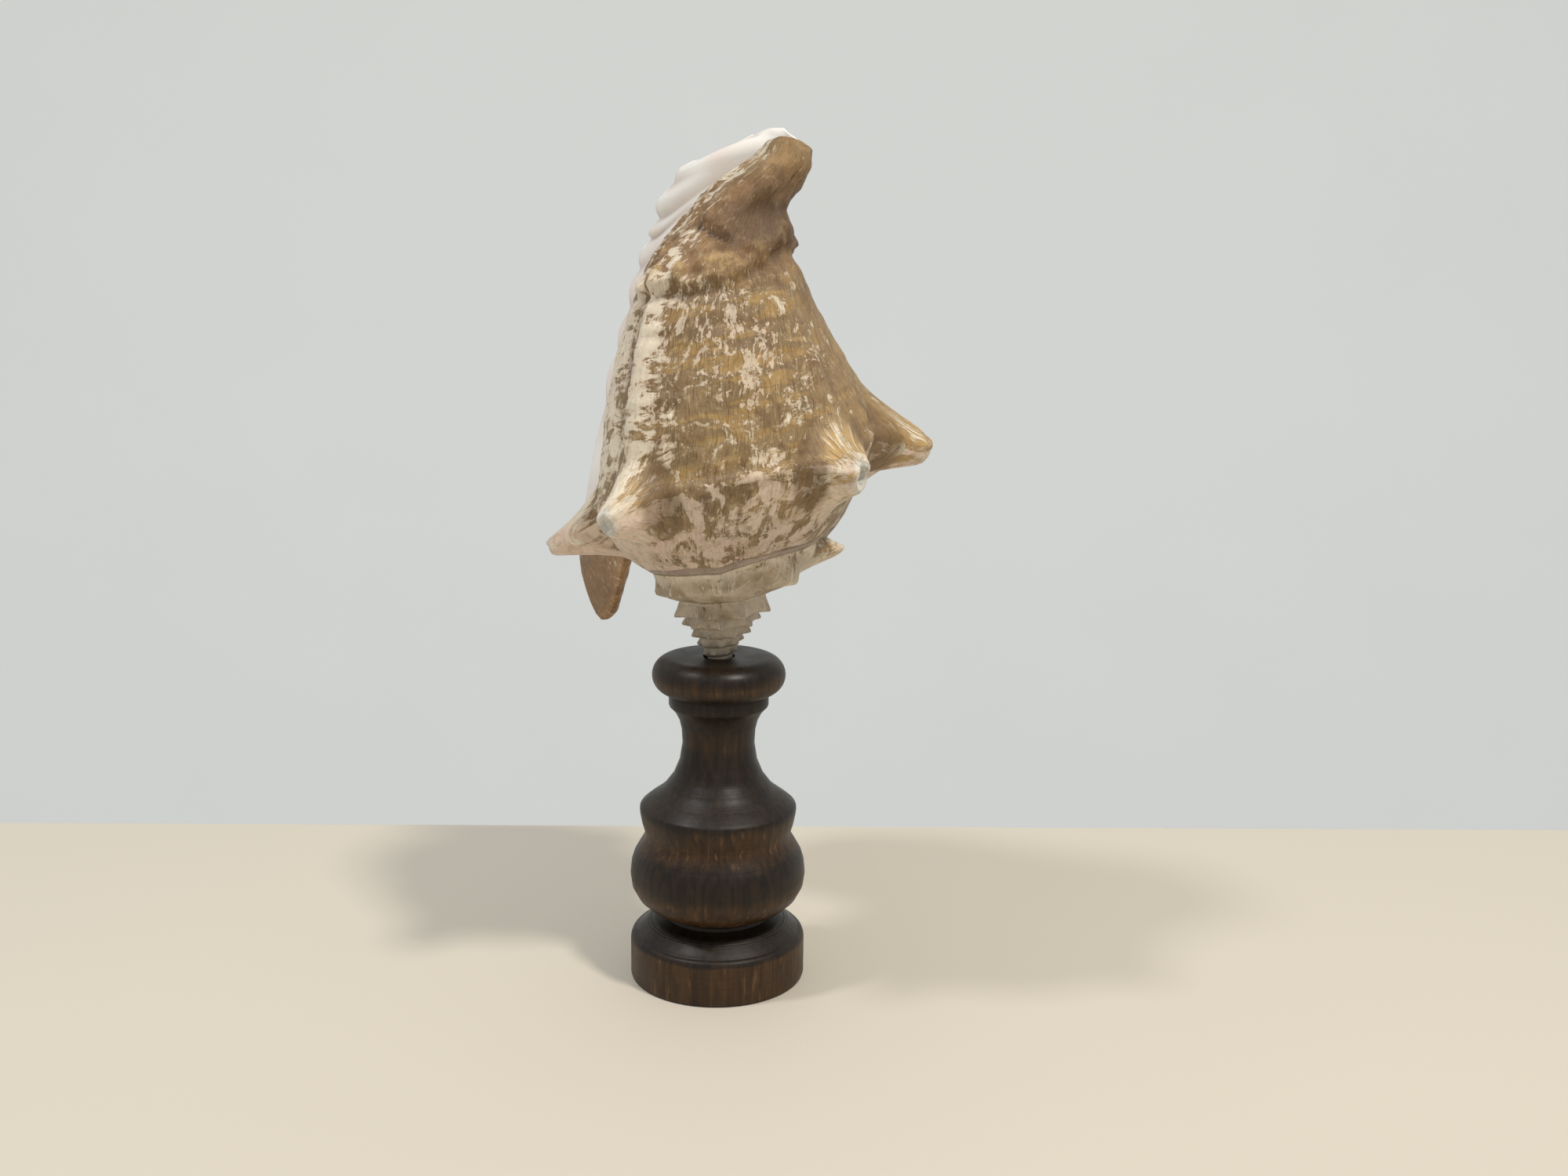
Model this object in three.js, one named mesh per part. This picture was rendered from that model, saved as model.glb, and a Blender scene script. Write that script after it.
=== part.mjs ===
import * as THREE from "three";

// Conch shell standing spire-down in a turned wooden stand. Millimetres, +Z up.
// The origin is the centre of the stand's foot; the shell's back faces +X and its
// mouth opens to -X and +Y.

// Driving dimensions
const FOOT_RADIUS = 43.2;
const STAND_TOP = 162.3;
const HOLE_RADIUS = 7.6;
const HOLE_FLOOR = 152.1;
const HOLE_EDGE = 0.5;
const SHELL_WALL = 4.2;
const LIP_WALL = 5.6;
const CANAL_WALL = 2.4;
const LIP_BAND = 30;
const CANAL_THINNING = [0.6, 0.95];
// Half steps over which the surface's direction is measured: degrees of growth, rows
const NORMAL_TURN = 0.5;
const NORMAL_ROW = 0.03;

// Growth angles of the shell, in degrees counter-clockwise seen from above. They
// grow from the tip of the spire to the margin of the wing.
const TURN = 360;
const GROWTH_STEP = 6;
const APEX = -2880;
const CORNER = 138;
const INNER_LIP = CORNER - TURN;
const DEEP_END = INNER_LIP + 132;
const WING_START = 75;
const MARGIN = 198;

// Rows across a whorl: -1 is the suture, CREST_ROW the shoulder, 0 the line just past
// it that the next whorl covers, and 1 the end of the canal.
const CREST_ROW = -0.2;
const SPIRE_ROWS = [-1, -0.6, CREST_ROW, 0];
const RAMP_ROWS = [-1, -0.75, -0.52, -0.34, CREST_ROW, -0.1, 0];
const BODY_ROWS = [
  0.045, 0.1, 0.17, 0.25, 0.34, 0.44, 0.54, 0.63, 0.71, 0.77, 0.82, 0.87, 0.915, 0.955, 0.98, 1,
];
const INSIDE_ROWS = [-0.6, -0.2, 0, 0.17, 0.34, 0.54, 0.71, 0.82, 0.87, 0.915, 0.955, 0.98, 1];

// Shoulder between its spines: growth angle, radius, height
const CREST = [
  [-2880, 5.2, 157.5], [-2520, 6, 161.5], [-2160, 8, 166.5], [-1800, 10.4, 171.2], [-1440, 13.6, 176.4],
  [-1080, 17.4, 181.8], [-720, 21.8, 188], [-540, 26.2, 194.5], [-450, 33, 202], [-396, 38.5, 206.5],
  [-348, 43.4, 210.5], [-270, 50, 215], [-222, 53, 218.5], [-180, 56, 226], [-126, 60.5, 241],
  [-82, 64, 251], [-36, 68, 260], [12, 74, 271], [58, 79, 280], [90, 82, 284],
];

// Line that the next whorl's suture follows: growth angle, radius, height
const COVERED = [
  [-2880, 5, 159.5], [-2520, 5.9, 164], [-2160, 7.9, 169], [-1800, 10.2, 174], [-1440, 13.2, 179.8],
  [-1080, 16.8, 186], [-720, 21.4, 194.6], [-620, 26, 199.6], [-540, 31, 203.2], [-502, 34.4, 205.2],
  [-450, 39, 209.6], [-414, 43, 216.5], [-360, 46.5, 219.5], [-300, 49, 221], [-222, 52.4, 225],
  [-180, 56.6, 235], [-126, 60.4, 249], [-36, 67.4, 269], [12, 73.6, 280], [90, 80.8, 293],
];

// Fullness of the ramp and the shoulder as shares of the radius, and how far the ramp hangs down
const RAMP_SWELL = 0.05;
const SHOULDER_SWELL = 0.03;
const RAMP_SAG = 0.7;
// First turn of the spire, inside the stand's hole
const TIP_RADII = [4.4, 5];
const TIP_HEIGHT = 157;
const TIP_END = 152.5;

// Radius of the body's wall at each height, at the meridians of WALL_MERIDIANS
const WALL_MERIDIANS = [-450, -222, -90, 0, 90];
const WALL = [
  [215, 42, 54, 68, 88, 100], [240, 36, 52.5, 64, 81, 92], [255, 33, 51.3, 61.5, 77, 87],
  [270, 30.5, 50, 58.7, 71.6, 82.5], [285, 28.5, 48.2, 55.5, 65.5, 76], [300, 26.5, 46, 51.5, 58.3, 68],
  [312, 25, 43.8, 47.8, 52.2, 60], [326, 23, 40, 43, 45.2, 51], [340, 20, 34.8, 37.4, 38.6, 42.5],
  [351, 17, 30.8, 32.4, 33.2, 35.5], [362, 13, 25.6, 26.6, 27.4, 29], [371, 9.5, 21.6, 21.8, 22, 22.8],
  [380, 7, 20.2, 20.4, 20.4, 20.6], [390, 5.2, 16.6, 16.6, 16.6, 16.8], [398, 4, 12.4, 12.5, 12.5, 12.6],
  [410, 2.6, 7.4, 7.4, 7.4, 7.4],
];

// Row at which the wall has left the covered line's own radius
const WALL_JOIN = 0.45;

// The canal bends to the right near its end: height, shift along X and Y
const CANAL_BEND = [
  [335, 0, 0], [351, 1, 0], [362, 3.6, 0], [371, 6.8, 0], [380, 13, 1], [390, 23.5, 2], [398, 28.5, 3],
  [410, 31, 5],
];
const TWIST_FROM = 335;
const TWIST_TO = 378;
// Azimuth inside the canal of each growth angle
const TWIST = [
  [-450, -446], [-330, -318], [-222, -180], [-162, -138], [-102, -92], [-42, -40], [20, 18], [75, 66],
];
// Height of the canal's end
const CANAL_RIM = [
  [-450, 399], [-222, 400], [-162, 403], [-102, 404], [-60, 402.5], [0, 399], [40, 401], [75, 405],
];

// Margin of the wing, from the tip of its hind lobe to the canal: row, X, Y, Z
const WING_MARGIN = [
  [-1, -62.5, 86.5, 162.5], [-0.82, -67.5, 91, 168], [-0.5, -74.5, 98, 189], [0, -74, 110, 214],
  [0.12, -71, 118, 234], [0.27, -66, 122, 257],
  [0.4, -61, 119, 284], [0.55, -52, 109, 313], [0.62, -46.5, 102, 331], [0.69, -41.5, 94, 347],
  [0.75, -36, 85.5, 358.5], [0.81, -31.6, 79, 367.7], [0.86, -28, 72, 378.5], [0.905, -19.5, 65, 389.5],
  [0.94, -7.5, 58, 395], [0.965, 5.5, 53, 397], [0.98, 10.5, 49, 402.5], [0.99, 14.5, 45, 404],
  [1, 22.2, 39, 401.5],
];
// Direction in which the wing reaches its margin, and how strongly both ends steer it
const ARRIVAL = [-0.355, 0.935, 0];
const LEAVING_PULL = 0.95;
const ARRIVING_PULL = 0.8;
// Degrees of growth over which the wall's direction is taken where the wing leaves it
const HEADING_TURN = 4;
// Waves along the wing, closer together and higher toward the canal
const WING_WAVES = 9;
const WAVE_CROWDING = 2.2;
const WAVE_LOW = 0.6;
const WAVE_HIGH = 3;
// Free hind edge of the wing, from the mouth's corner to the tip of the lobe
const HIND_EDGE = [
  [138, -38.9, 35.1, 225], [158, -46, 53, 204], [178, -53, 70.5, 182], [190, -57.5, 79.5, 168.5],
  [198, -62.5, 86.5, 162.5],
];

// Spines of the last whorl: growth angle, tip azimuth, tip radius, tip height, half widths
// at the base around and along the shell, how blunt the tip is, and the height of the
// fold that runs up the wall from the spine
const SPINES = [
  [-348, 14, 60.5, 212, 13, 14, 0.4, 2], [-300, 62, 61, 212, 13, 14, 0.36, 2],
  [-246, 114, 65, 209, 13, 14, 0.36, 2], [-180, 180, 83.5, 213, 16, 21, 0.38, 2.5],
  [-126, 236, 85, 235.5, 18, 22, 0.5, 4], [-36, 319, 87, 256, 20, 25, 0.52, 2.5],
  [12, 10, 102.5, 262, 20, 23, 0.58, 0.6], [48, 49, 93, 270, 17, 24, 0.42, 2],
];
// Half width and backward lean of the folds in degrees, and the rows between which they
// rise and fade
const FOLD_WIDTH = 7;
const FOLD_LEAN = 13;
const FOLD_RISE = [0, 0.12];
const FOLD_FADE = [0.3, 0.75];
// Nodules of the spire follow one another at this spacing and stand out by this share of the radius
const NODULE_STEP = 48;
const FIRST_NODULE = -396;
const NODULE_REACH = 0.17;
const NODULE_DROOP = 0.075;
const NODULE_WIDTH = 0.33;
const NODULE_TIP = 0.24;

const rad = THREE.MathUtils.degToRad;
const lerp = THREE.MathUtils.lerp;
const clamp = THREE.MathUtils.clamp;
const ease = (x, from, to) => THREE.MathUtils.smoothstep(x, from, to);

// Smooth curve through rows of [x, values...], held past its ends.
function curve(rows, x) {
  const last = rows.length - 1;
  const at = clamp(x, rows[0][0], rows[last][0]);
  let k = 0;
  while (k < last - 1 && at > rows[k + 1][0]) k += 1;
  const span = rows[k + 1][0] - rows[k][0];
  const t = (at - rows[k][0]) / span;
  const slope = (n, c) => {
    const a = rows[Math.max(n - 1, 0)];
    const b = rows[Math.min(n + 1, last)];
    return (b[c] - a[c]) / (b[0] - a[0]);
  };
  const values = [];
  for (let c = 1; c < rows[0].length; c += 1) {
    values.push(hermite(rows[k][c], slope(k, c) * span, rows[k + 1][c], slope(k + 1, c) * span, t));
  }
  return values;
}

function hermite(p, dp, q, dq, t) {
  const t2 = t * t;
  const t3 = t2 * t;
  return (2 * t3 - 3 * t2 + 1) * p + (t3 - 2 * t2 + t) * dp + (3 * t2 - 2 * t3) * q + (t3 - t2) * dq;
}

const polar = (r, angle, z) => new THREE.Vector3(r * Math.cos(rad(angle)), r * Math.sin(rad(angle)), z);
const wallRow = (radii) => WALL_MERIDIANS.map((angle, k) => [angle, radii[k]]);

// Rounded folds that run up the body's wall from its spines, leaning back as they rise
function foldHeight(angle, v) {
  const fade = ease(v, ...FOLD_RISE) * (1 - ease(v, ...FOLD_FADE));
  const folds = SPINES.map((spine) => {
    const off = (angle - spine[0] + FOLD_LEAN * v) / FOLD_WIDTH;
    return spine.at(-1) * Math.exp(-(off ** 2));
  });
  return fade * Math.max(...folds);
}

// Body wall and canal, from the covered line (v = 0) to the canal's end (v = 1)
function wallPoint(angle, v) {
  const [startRadius, startHeight] = curve(COVERED, angle);
  const [rim] = curve(CANAL_RIM, angle);
  const z = lerp(startHeight, rim, v);
  const [radius] = curve(wallRow(curve(WALL, z)), angle);
  const [radiusAtStart] = curve(wallRow(curve(WALL, startHeight)), angle);
  const joined = radius + (startRadius - radiusAtStart) * (1 - ease(v, 0, WALL_JOIN));
  const [shiftX, shiftY] = curve(CANAL_BEND, z);
  const azimuth = lerp(angle, curve(TWIST, angle)[0], ease(z, TWIST_FROM, TWIST_TO));
  return polar(joined + foldHeight(angle, v), azimuth, z).add(new THREE.Vector3(shiftX, shiftY, 0));
}

// Sloping top of a whorl from the suture (u = 0) over the shoulder to the covered line (u = 1)
function rampPoint(angle, u) {
  const first = [lerp(...TIP_RADII, (angle - APEX) / TURN), TIP_HEIGHT];
  const suture = angle - TURN < APEX ? first : curve(COVERED, angle - TURN);
  const crest = curve(CREST, angle);
  const covered = curve(COVERED, angle);
  const crestAt = 1 + CREST_ROW;
  const t = Math.min(u / crestAt, 1);
  const past = clamp((u - crestAt) / (1 - crestAt), 0, 1);
  const swell = 4 * t * (1 - t) * RAMP_SWELL * crest[0];
  const fullness = SHOULDER_SWELL * crest[0] * Math.sin(Math.PI * past);
  const radius = lerp(lerp(suture[0], crest[0], t), covered[0], past) + swell + fullness;
  const height = lerp(lerp(suture[1], crest[1], t), covered[1], past) - swell * RAMP_SAG;
  return polar(radius, angle, height);
}

// The wing leaves the body along its own direction and runs to its wavy margin.
function wingPoint(angle, v) {
  const start = wallPoint(WING_START, v);
  const heading = start.clone().sub(wallPoint(WING_START - HEADING_TURN, v)).normalize();
  const end = new THREE.Vector3(...curve(WING_MARGIN, v));
  const arrival = new THREE.Vector3(...ARRIVAL);
  const t = (angle - WING_START) / (MARGIN - WING_START);
  const reach = start.distanceTo(end);
  const along = (axis) => {
    const leave = heading[axis] * reach * LEAVING_PULL;
    const arrive = arrival[axis] * reach * ARRIVING_PULL;
    return hermite(start[axis], leave, end[axis], arrive, t);
  };
  const outward = new THREE.Vector3(arrival.y, -arrival.x, 0);
  const height = lerp(WAVE_LOW, WAVE_HIGH, v) * t * t;
  const wave = height * Math.sin(2 * Math.PI * WING_WAVES * v ** WAVE_CROWDING);
  return new THREE.Vector3(along("x"), along("y"), along("z")).addScaledVector(outward, wave);
}

// Hind part of the wing, between the suture or its free edge and the shoulder
function hindPoint(angle, u) {
  const [edgeX, edgeY, edgeZ] = curve(HIND_EDGE, angle);
  const foot = angle > CORNER ? new THREE.Vector3(edgeX, edgeY, edgeZ) : rampPoint(angle, 0);
  const bodyChord = rampPoint(angle, 0).lerp(rampPoint(angle, 1), u);
  const bodyBulge = rampPoint(angle, u).sub(bodyChord).multiplyScalar(1 - ease(angle, WING_START, CORNER));
  const marginShoulder = new THREE.Vector3(...curve(WING_MARGIN, 0));
  const marginChord = new THREE.Vector3(...curve(WING_MARGIN, -1)).lerp(marginShoulder, u);
  const marginBulge = new THREE.Vector3(...curve(WING_MARGIN, u - 1)).sub(marginChord);
  return foot.lerp(wingPoint(angle, 0), u).add(bodyBulge)
    .addScaledVector(marginBulge, ease(angle, WING_START, MARGIN));
}

// Smooth outer surface, without spines
function basePoint(angle, s) {
  if (angle <= WING_START) return s < 0 ? rampPoint(angle, 1 + s) : wallPoint(angle, s);
  return s < 0 ? hindPoint(angle, 1 + s) : wingPoint(angle, s);
}

function listSpines() {
  const spines = SPINES.map(([angle, tipAngle, tipRadius, tipHeight, around, along, blunt]) => ({
    angle, tip: polar(tipRadius, tipAngle, tipHeight), around, along, blunt,
  }));
  for (let angle = FIRST_NODULE; angle > APEX + TURN; angle -= NODULE_STEP) {
    const [radius, height] = curve(CREST, angle);
    const size = radius * NODULE_WIDTH;
    const tip = polar(radius * (1 + NODULE_REACH), angle, height - radius * NODULE_DROOP);
    spines.push({ angle, tip, around: size, along: size, blunt: NODULE_TIP });
  }
  return spines.map((spine) => ({ ...spine, foot: basePoint(spine.angle, CREST_ROW) }));
}
const spines = listSpines();
// Farthest growth angle at which a spine still shapes the surface
const SPINE_SPREAD = 36;
// How much a spine narrows toward its tip, and how hollow its sides are
const SPINE_TAPER = 0.36;
const SPINE_SHARPNESS = 1.3;
// How far the round end of a spine falls toward its edge, as a share of the spine's length
const SPINE_DOME = 0.15;

// Push of the spines on a point of the surface
function spinePush(point, angle) {
  const push = new THREE.Vector3();
  for (const spine of spines) {
    if (Math.abs(angle - spine.angle) > SPINE_SPREAD) continue;
    const away = point.clone().sub(spine.foot);
    const around = new THREE.Vector3(-Math.sin(rad(angle)), Math.cos(rad(angle)), 0);
    const side = away.dot(around);
    const rise = Math.sqrt(Math.max(away.lengthSq() - side * side, 0));
    const distance = Math.hypot(side / spine.around, rise / spine.along);
    if (distance >= 1) continue;
    const slope = clamp((distance - spine.blunt) / (1 - spine.blunt), 0, 1);
    const dome = 1 - SPINE_DOME * Math.min(distance / spine.blunt, 1) ** 2;
    const level = dome * (1 - slope) ** SPINE_SHARPNESS;
    const reach = spine.tip.clone().sub(spine.foot);
    const axis = reach.clone().normalize();
    const sideways = away.addScaledVector(axis, -away.dot(axis));
    push.addScaledVector(reach, level).addScaledVector(sideways, -SPINE_TAPER * level);
  }
  return push;
}

function outerPoint(angle, s) {
  const point = basePoint(angle, s);
  const push = spinePush(point, angle);
  if (s < 0 && angle - TURN >= APEX && angle <= CORNER) {
    const under = basePoint(angle - TURN, 0);
    push.addScaledVector(spinePush(under, angle - TURN), s * s);
  }
  return point.add(push);
}

// Thickness of the wall
function wallThickness(angle, s) {
  const lip = ease(angle, WING_START, MARGIN - LIP_BAND);
  const canal = ease(s, ...CANAL_THINNING) * (1 - ease(angle, WING_START, CORNER));
  return lerp(lerp(SHELL_WALL, LIP_WALL, lip), CANAL_WALL, canal);
}

// Point on the inside of the wall, square to the outer surface
function innerPoint(angle, s) {
  const turnTo = Math.min(angle + NORMAL_TURN, MARGIN);
  const around = basePoint(turnTo, s).sub(basePoint(turnTo - 2 * NORMAL_TURN, s));
  const lower = clamp(s - NORMAL_ROW, -1, 1 - 2 * NORMAL_ROW);
  const from = s < 0 ? Math.min(lower, -2 * NORMAL_ROW) : Math.max(lower, 0);
  const across = basePoint(angle, from + 2 * NORMAL_ROW).sub(basePoint(angle, from));
  const outward = around.cross(across).normalize();
  return basePoint(angle, s).addScaledVector(outward, -wallThickness(angle, s));
}

const RIM_ROUNDING = 0.35;

// Builds the shell as one closed surface.
function buildShell() {
  const points = [];
  const triangles = [];
  const add = (point) => points.push(point.x, point.y, point.z) / 3 - 1;
  const face = (a, b, c) => {
    if (a !== b && b !== c && c !== a) triangles.push(a, b, c);
  };
  // Joins two lines of points, walking along both by their row values
  const join = (p, q) => {
    let j = 0;
    let k = 0;
    while (j < p.length - 1 || k < q.length - 1) {
      const nextP = j < p.length - 1 ? p[j + 1].row : Infinity;
      const nextQ = k < q.length - 1 ? q[k + 1].row : Infinity;
      if (nextQ <= nextP) {
        face(p[j].id, q[k].id, q[k + 1].id);
        k += 1;
      } else {
        face(p[j].id, q[k].id, p[j + 1].id);
        j += 1;
      }
    }
  };
  const perTurn = TURN / GROWTH_STEP;
  const count = (MARGIN - APEX) / GROWTH_STEP;
  const column = (angle) => Math.round((angle - APEX) / GROWTH_STEP);
  const angleOf = (n) => APEX + n * GROWTH_STEP;
  const bodyFrom = column(DEEP_END - TURN);
  const lip = column(INNER_LIP);
  const corner = column(CORNER);
  const deep = column(DEEP_END);

  const ramps = [];
  const walls = [];
  for (let n = 0; n <= count; n += 1) {
    const angle = angleOf(n);
    const rows = n >= bodyFrom ? RAMP_ROWS : SPIRE_ROWS;
    const attached = n >= perTurn && n <= corner;
    ramps.push(rows.map((row, k) => ({
      row,
      id: attached && k === 0 ? ramps[n - perTurn].at(-1).id : add(outerPoint(angle, row)),
    })));
    walls.push(n >= bodyFrom ? BODY_ROWS.map((row) => ({ row, id: add(outerPoint(angle, row)) })) : []);
  }
  for (let n = 0; n < count; n += 1) {
    if (n >= lip) {
      join([...ramps[n], ...walls[n]], [...ramps[n + 1], ...walls[n + 1]]);
    } else {
      join(ramps[n], ramps[n + 1]);
      if (n >= bodyFrom) join(walls[n], walls[n + 1]);
    }
  }

  // Inside of the wall, from the deep end of the hollow to the margin
  const inside = [];
  for (let n = deep; n <= count; n += 1) {
    const angle = angleOf(n);
    const start = n <= corner ? walls[n - perTurn][0].id : add(innerPoint(angle, -1));
    inside[n] = [{ row: -1, id: start }];
    for (const row of INSIDE_ROWS) inside[n].push({ row, id: add(innerPoint(angle, row)) });
  }
  for (let n = deep; n < count; n += 1) join(inside[n + 1], inside[n]);
  join(inside[deep], walls[bodyFrom]);

  // Rounded rims: margin, hind edge and front edge with the canal's end
  const vertex = (id) => new THREE.Vector3().fromArray(points, id * 3);
  const rounded = (outer, inner, before) => {
    const middle = outer.clone().lerp(inner, 0.5);
    const outward = middle.clone().sub(before).normalize();
    return add(middle.addScaledVector(outward, outer.distanceTo(inner) * RIM_ROUNDING));
  };
  const outerMargin = [...ramps[count], ...walls[count]];
  const marginRim = inside[count].map(({ row, id }) => {
    const before = basePoint(MARGIN - GROWTH_STEP, row);
    return { row, id: rounded(basePoint(MARGIN, row), vertex(id), before) };
  });
  join(outerMargin, marginRim);
  join(marginRim, inside[count]);

  const hindOuter = [];
  const hindInner = [];
  const hindRim = [];
  for (let n = corner; n <= count; n += 1) {
    const row = n;
    hindOuter.push({ row, id: ramps[n][0].id });
    hindInner.push({ row, id: inside[n][0].id });
    if (n === corner) hindRim.push({ row, id: inside[n][0].id });
    else if (n === count) hindRim.push({ row, id: marginRim[0].id });
    else {
      const outer = vertex(ramps[n][0].id);
      hindRim.push({ row, id: rounded(outer, vertex(inside[n][0].id), vertex(ramps[n][1].id)) });
    }
  }
  join(hindOuter, hindRim);
  join(hindRim, hindInner);

  const frontOuter = [];
  const frontInner = [];
  const frontRim = [];
  for (let n = deep; n <= count; n += 1) {
    const row = n;
    const outer = walls[n].at(-1).id;
    const inner = inside[n].at(-1).id;
    frontOuter.push({ row, id: outer });
    frontInner.push({ row, id: inner });
    if (n === deep) frontRim.push({ row, id: inner });
    else if (n === count) frontRim.push({ row, id: marginRim.at(-1).id });
    else frontRim.push({ row, id: rounded(vertex(outer), vertex(inner), vertex(walls[n].at(-2).id)) });
  }
  join(frontInner, frontRim);
  join(frontRim, frontOuter);

  // End of the pillar inside the canal
  const ring = [];
  for (let n = bodyFrom; n <= deep; n += 1) ring.push(walls[n].at(-1).id);
  ring.push(inside[deep].at(-1).id);
  const middle = new THREE.Vector3();
  for (const id of ring) middle.addScaledVector(vertex(id), 1 / ring.length);
  const pillar = add(middle);
  ring.forEach((id, k) => face(id, ring[(k + 1) % ring.length], pillar));

  // Tip of the spire
  const tip = add(new THREE.Vector3(0, 0, TIP_END));
  for (let n = 0; n < perTurn; n += 1) face(ramps[n + 1][0].id, ramps[n][0].id, tip);
  for (let k = 0; k < ramps[0].length - 1; k += 1) face(ramps[0][k].id, ramps[0][k + 1].id, tip);

  return closedGeometry(points, triangles);
}

// Outline of the turned stand from the foot's centre outward and up: radius, height
const STAND_OUTLINE = [
  [0, 0], [42, 0], [FOOT_RADIUS, 1.4], [FOOT_RADIUS, 18.6], [42.6, 21.2], [41.2, 22.8], [40, 23.2],
  [34, 28.1], [28.4, 29.8], [25.6, 32.2], [29, 34.4], [34.4, 36.9], [39.4, 41.4], [42.4, 47], [43.2, 53],
  [42.3, 60], [38.8, 67.4], [35.8, 72.8], [37, 77], [38.5, 84.5], [38.1, 87.4], [34, 91], [27, 96.4],
  [22, 103], [19, 110.4], [17.6, 119], [18.2, 127.4], [20.6, 134], [23.7, 137.6], [24.3, 139.2],
  [24.3, 144.2],
];
// Rounded rim around the stand's top, swept upward in degrees
const LIP_CENTRE_RADIUS = 23.4;
const LIP_RADIUS = 9;
const LIP_STEPS = 8;
const LIP_SWEEP = [-80, 90];
const TURN_FACES = 32;

function closedGeometry(points, triangles) {
  const geometry = new THREE.BufferGeometry();
  geometry.setAttribute("position", new THREE.Float32BufferAttribute(points, 3));
  geometry.setIndex(triangles);
  geometry.computeVertexNormals();
  return geometry;
}

// A turned solid from its outline, which starts and ends on the axis
function turned(outline) {
  const points = [];
  const triangles = [];
  const rings = outline.map(([radius, z]) => {
    const first = points.length / 3;
    const size = radius > 0 ? TURN_FACES : 1;
    for (let k = 0; k < size; k += 1) points.push(...polar(radius, (k * TURN) / TURN_FACES, z));
    return (k) => first + (k % size);
  });
  for (let n = 1; n < rings.length; n += 1) {
    for (let k = 0; k < TURN_FACES; k += 1) {
      const [a, b, c, d] = [rings[n - 1](k), rings[n - 1](k + 1), rings[n](k + 1), rings[n](k)];
      if (a !== b) triangles.push(a, b, c);
      if (c !== d) triangles.push(a, c, d);
    }
  }
  return closedGeometry(points, triangles);
}

function buildStand() {
  const lip = [];
  for (let k = 1; k <= LIP_STEPS; k += 1) {
    const turn = rad(lerp(...LIP_SWEEP, k / LIP_STEPS));
    const rise = STAND_TOP - LIP_RADIUS + LIP_RADIUS * Math.sin(turn);
    lip.push([LIP_CENTRE_RADIUS + LIP_RADIUS * Math.cos(turn), rise]);
  }
  const hole = [
    [HOLE_RADIUS + HOLE_EDGE, STAND_TOP], [HOLE_RADIUS, STAND_TOP - HOLE_EDGE],
    [HOLE_RADIUS, HOLE_FLOOR], [0, HOLE_FLOOR],
  ];
  return turned([...STAND_OUTLINE, ...lip, ...hole]);
}

const shellMaterial = new THREE.MeshStandardMaterial({ color: 0xc9a27e, roughness: 0.6, metalness: 0 });
const group = new THREE.Group();
group.name = "conch_shell_on_stand";
const shell = new THREE.Mesh(buildShell(), shellMaterial);
shell.name = "conch_shell";
group.add(shell);
const standMaterial = new THREE.MeshStandardMaterial({ color: 0x3a241a, roughness: 0.4, metalness: 0 });
const stand = new THREE.Mesh(buildStand(), standMaterial);
stand.name = "stand";
group.add(stand);

export default group;
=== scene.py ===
import math
from types import SimpleNamespace

import bpy
import numpy as np
from mathutils import Matrix, Vector


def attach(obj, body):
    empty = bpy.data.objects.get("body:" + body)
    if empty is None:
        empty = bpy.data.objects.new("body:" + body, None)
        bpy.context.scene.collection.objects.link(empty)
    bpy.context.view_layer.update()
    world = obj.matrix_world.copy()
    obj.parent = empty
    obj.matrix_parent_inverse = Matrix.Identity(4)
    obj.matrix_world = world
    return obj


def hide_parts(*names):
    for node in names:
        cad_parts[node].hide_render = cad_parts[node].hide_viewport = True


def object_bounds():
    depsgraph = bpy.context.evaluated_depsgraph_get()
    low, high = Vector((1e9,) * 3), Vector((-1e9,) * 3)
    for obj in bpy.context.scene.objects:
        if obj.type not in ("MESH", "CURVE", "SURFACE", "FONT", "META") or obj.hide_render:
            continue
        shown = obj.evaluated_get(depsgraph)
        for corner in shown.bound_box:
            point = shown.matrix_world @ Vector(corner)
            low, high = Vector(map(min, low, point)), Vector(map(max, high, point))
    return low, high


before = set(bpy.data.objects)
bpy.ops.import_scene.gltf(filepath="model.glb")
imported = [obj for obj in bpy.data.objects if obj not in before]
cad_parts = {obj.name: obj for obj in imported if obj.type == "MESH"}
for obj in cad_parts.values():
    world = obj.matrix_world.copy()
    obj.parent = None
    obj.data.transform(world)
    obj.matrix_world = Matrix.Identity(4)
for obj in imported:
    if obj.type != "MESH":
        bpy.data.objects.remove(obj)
cad_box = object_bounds()
MM = 0.001

# --- shell, in mm and degrees
# Growth angles run counter-clockwise seen from above. Rows run from -1 at the suture over the ramp
# to 0 at the covered line, and on over the body's wall to 1 at the canal's rim
TURN = 360.0
STEP = 1.5
APEX = -2880.0
CORNER = 138.0
INNER_LIP = CORNER - TURN
DEEP_END = INNER_LIP + 132.0
WING_START = 75.0
MARGIN = 198.0
CREST_ROW = -0.2
SHELL_WALL = 4.2
LIP_WALL = 5.6
CANAL_WALL = 2.4
LIP_BAND = 30.0
CANAL_THINNING = (0.6, 0.95)

# Growth angle, radius, height of the shoulder's crest
CREST = [
    (-2880, 5.2, 157.5), (-2520, 6, 161.5), (-2160, 8, 166.5), (-1800, 10.4, 171.2), (-1440, 13.6, 176.4),
    (-1080, 17.4, 181.8), (-720, 21.8, 188), (-540, 26.2, 194.5), (-450, 33, 202), (-396, 38.5, 206.5),
    (-348, 43.4, 210.5), (-270, 50, 215), (-222, 53, 218.5), (-180, 56, 226), (-126, 60.5, 241),
    (-82, 64, 251), (-36, 68, 260), (12, 74, 271), (58, 79, 280), (90, 82, 284),
]
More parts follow.
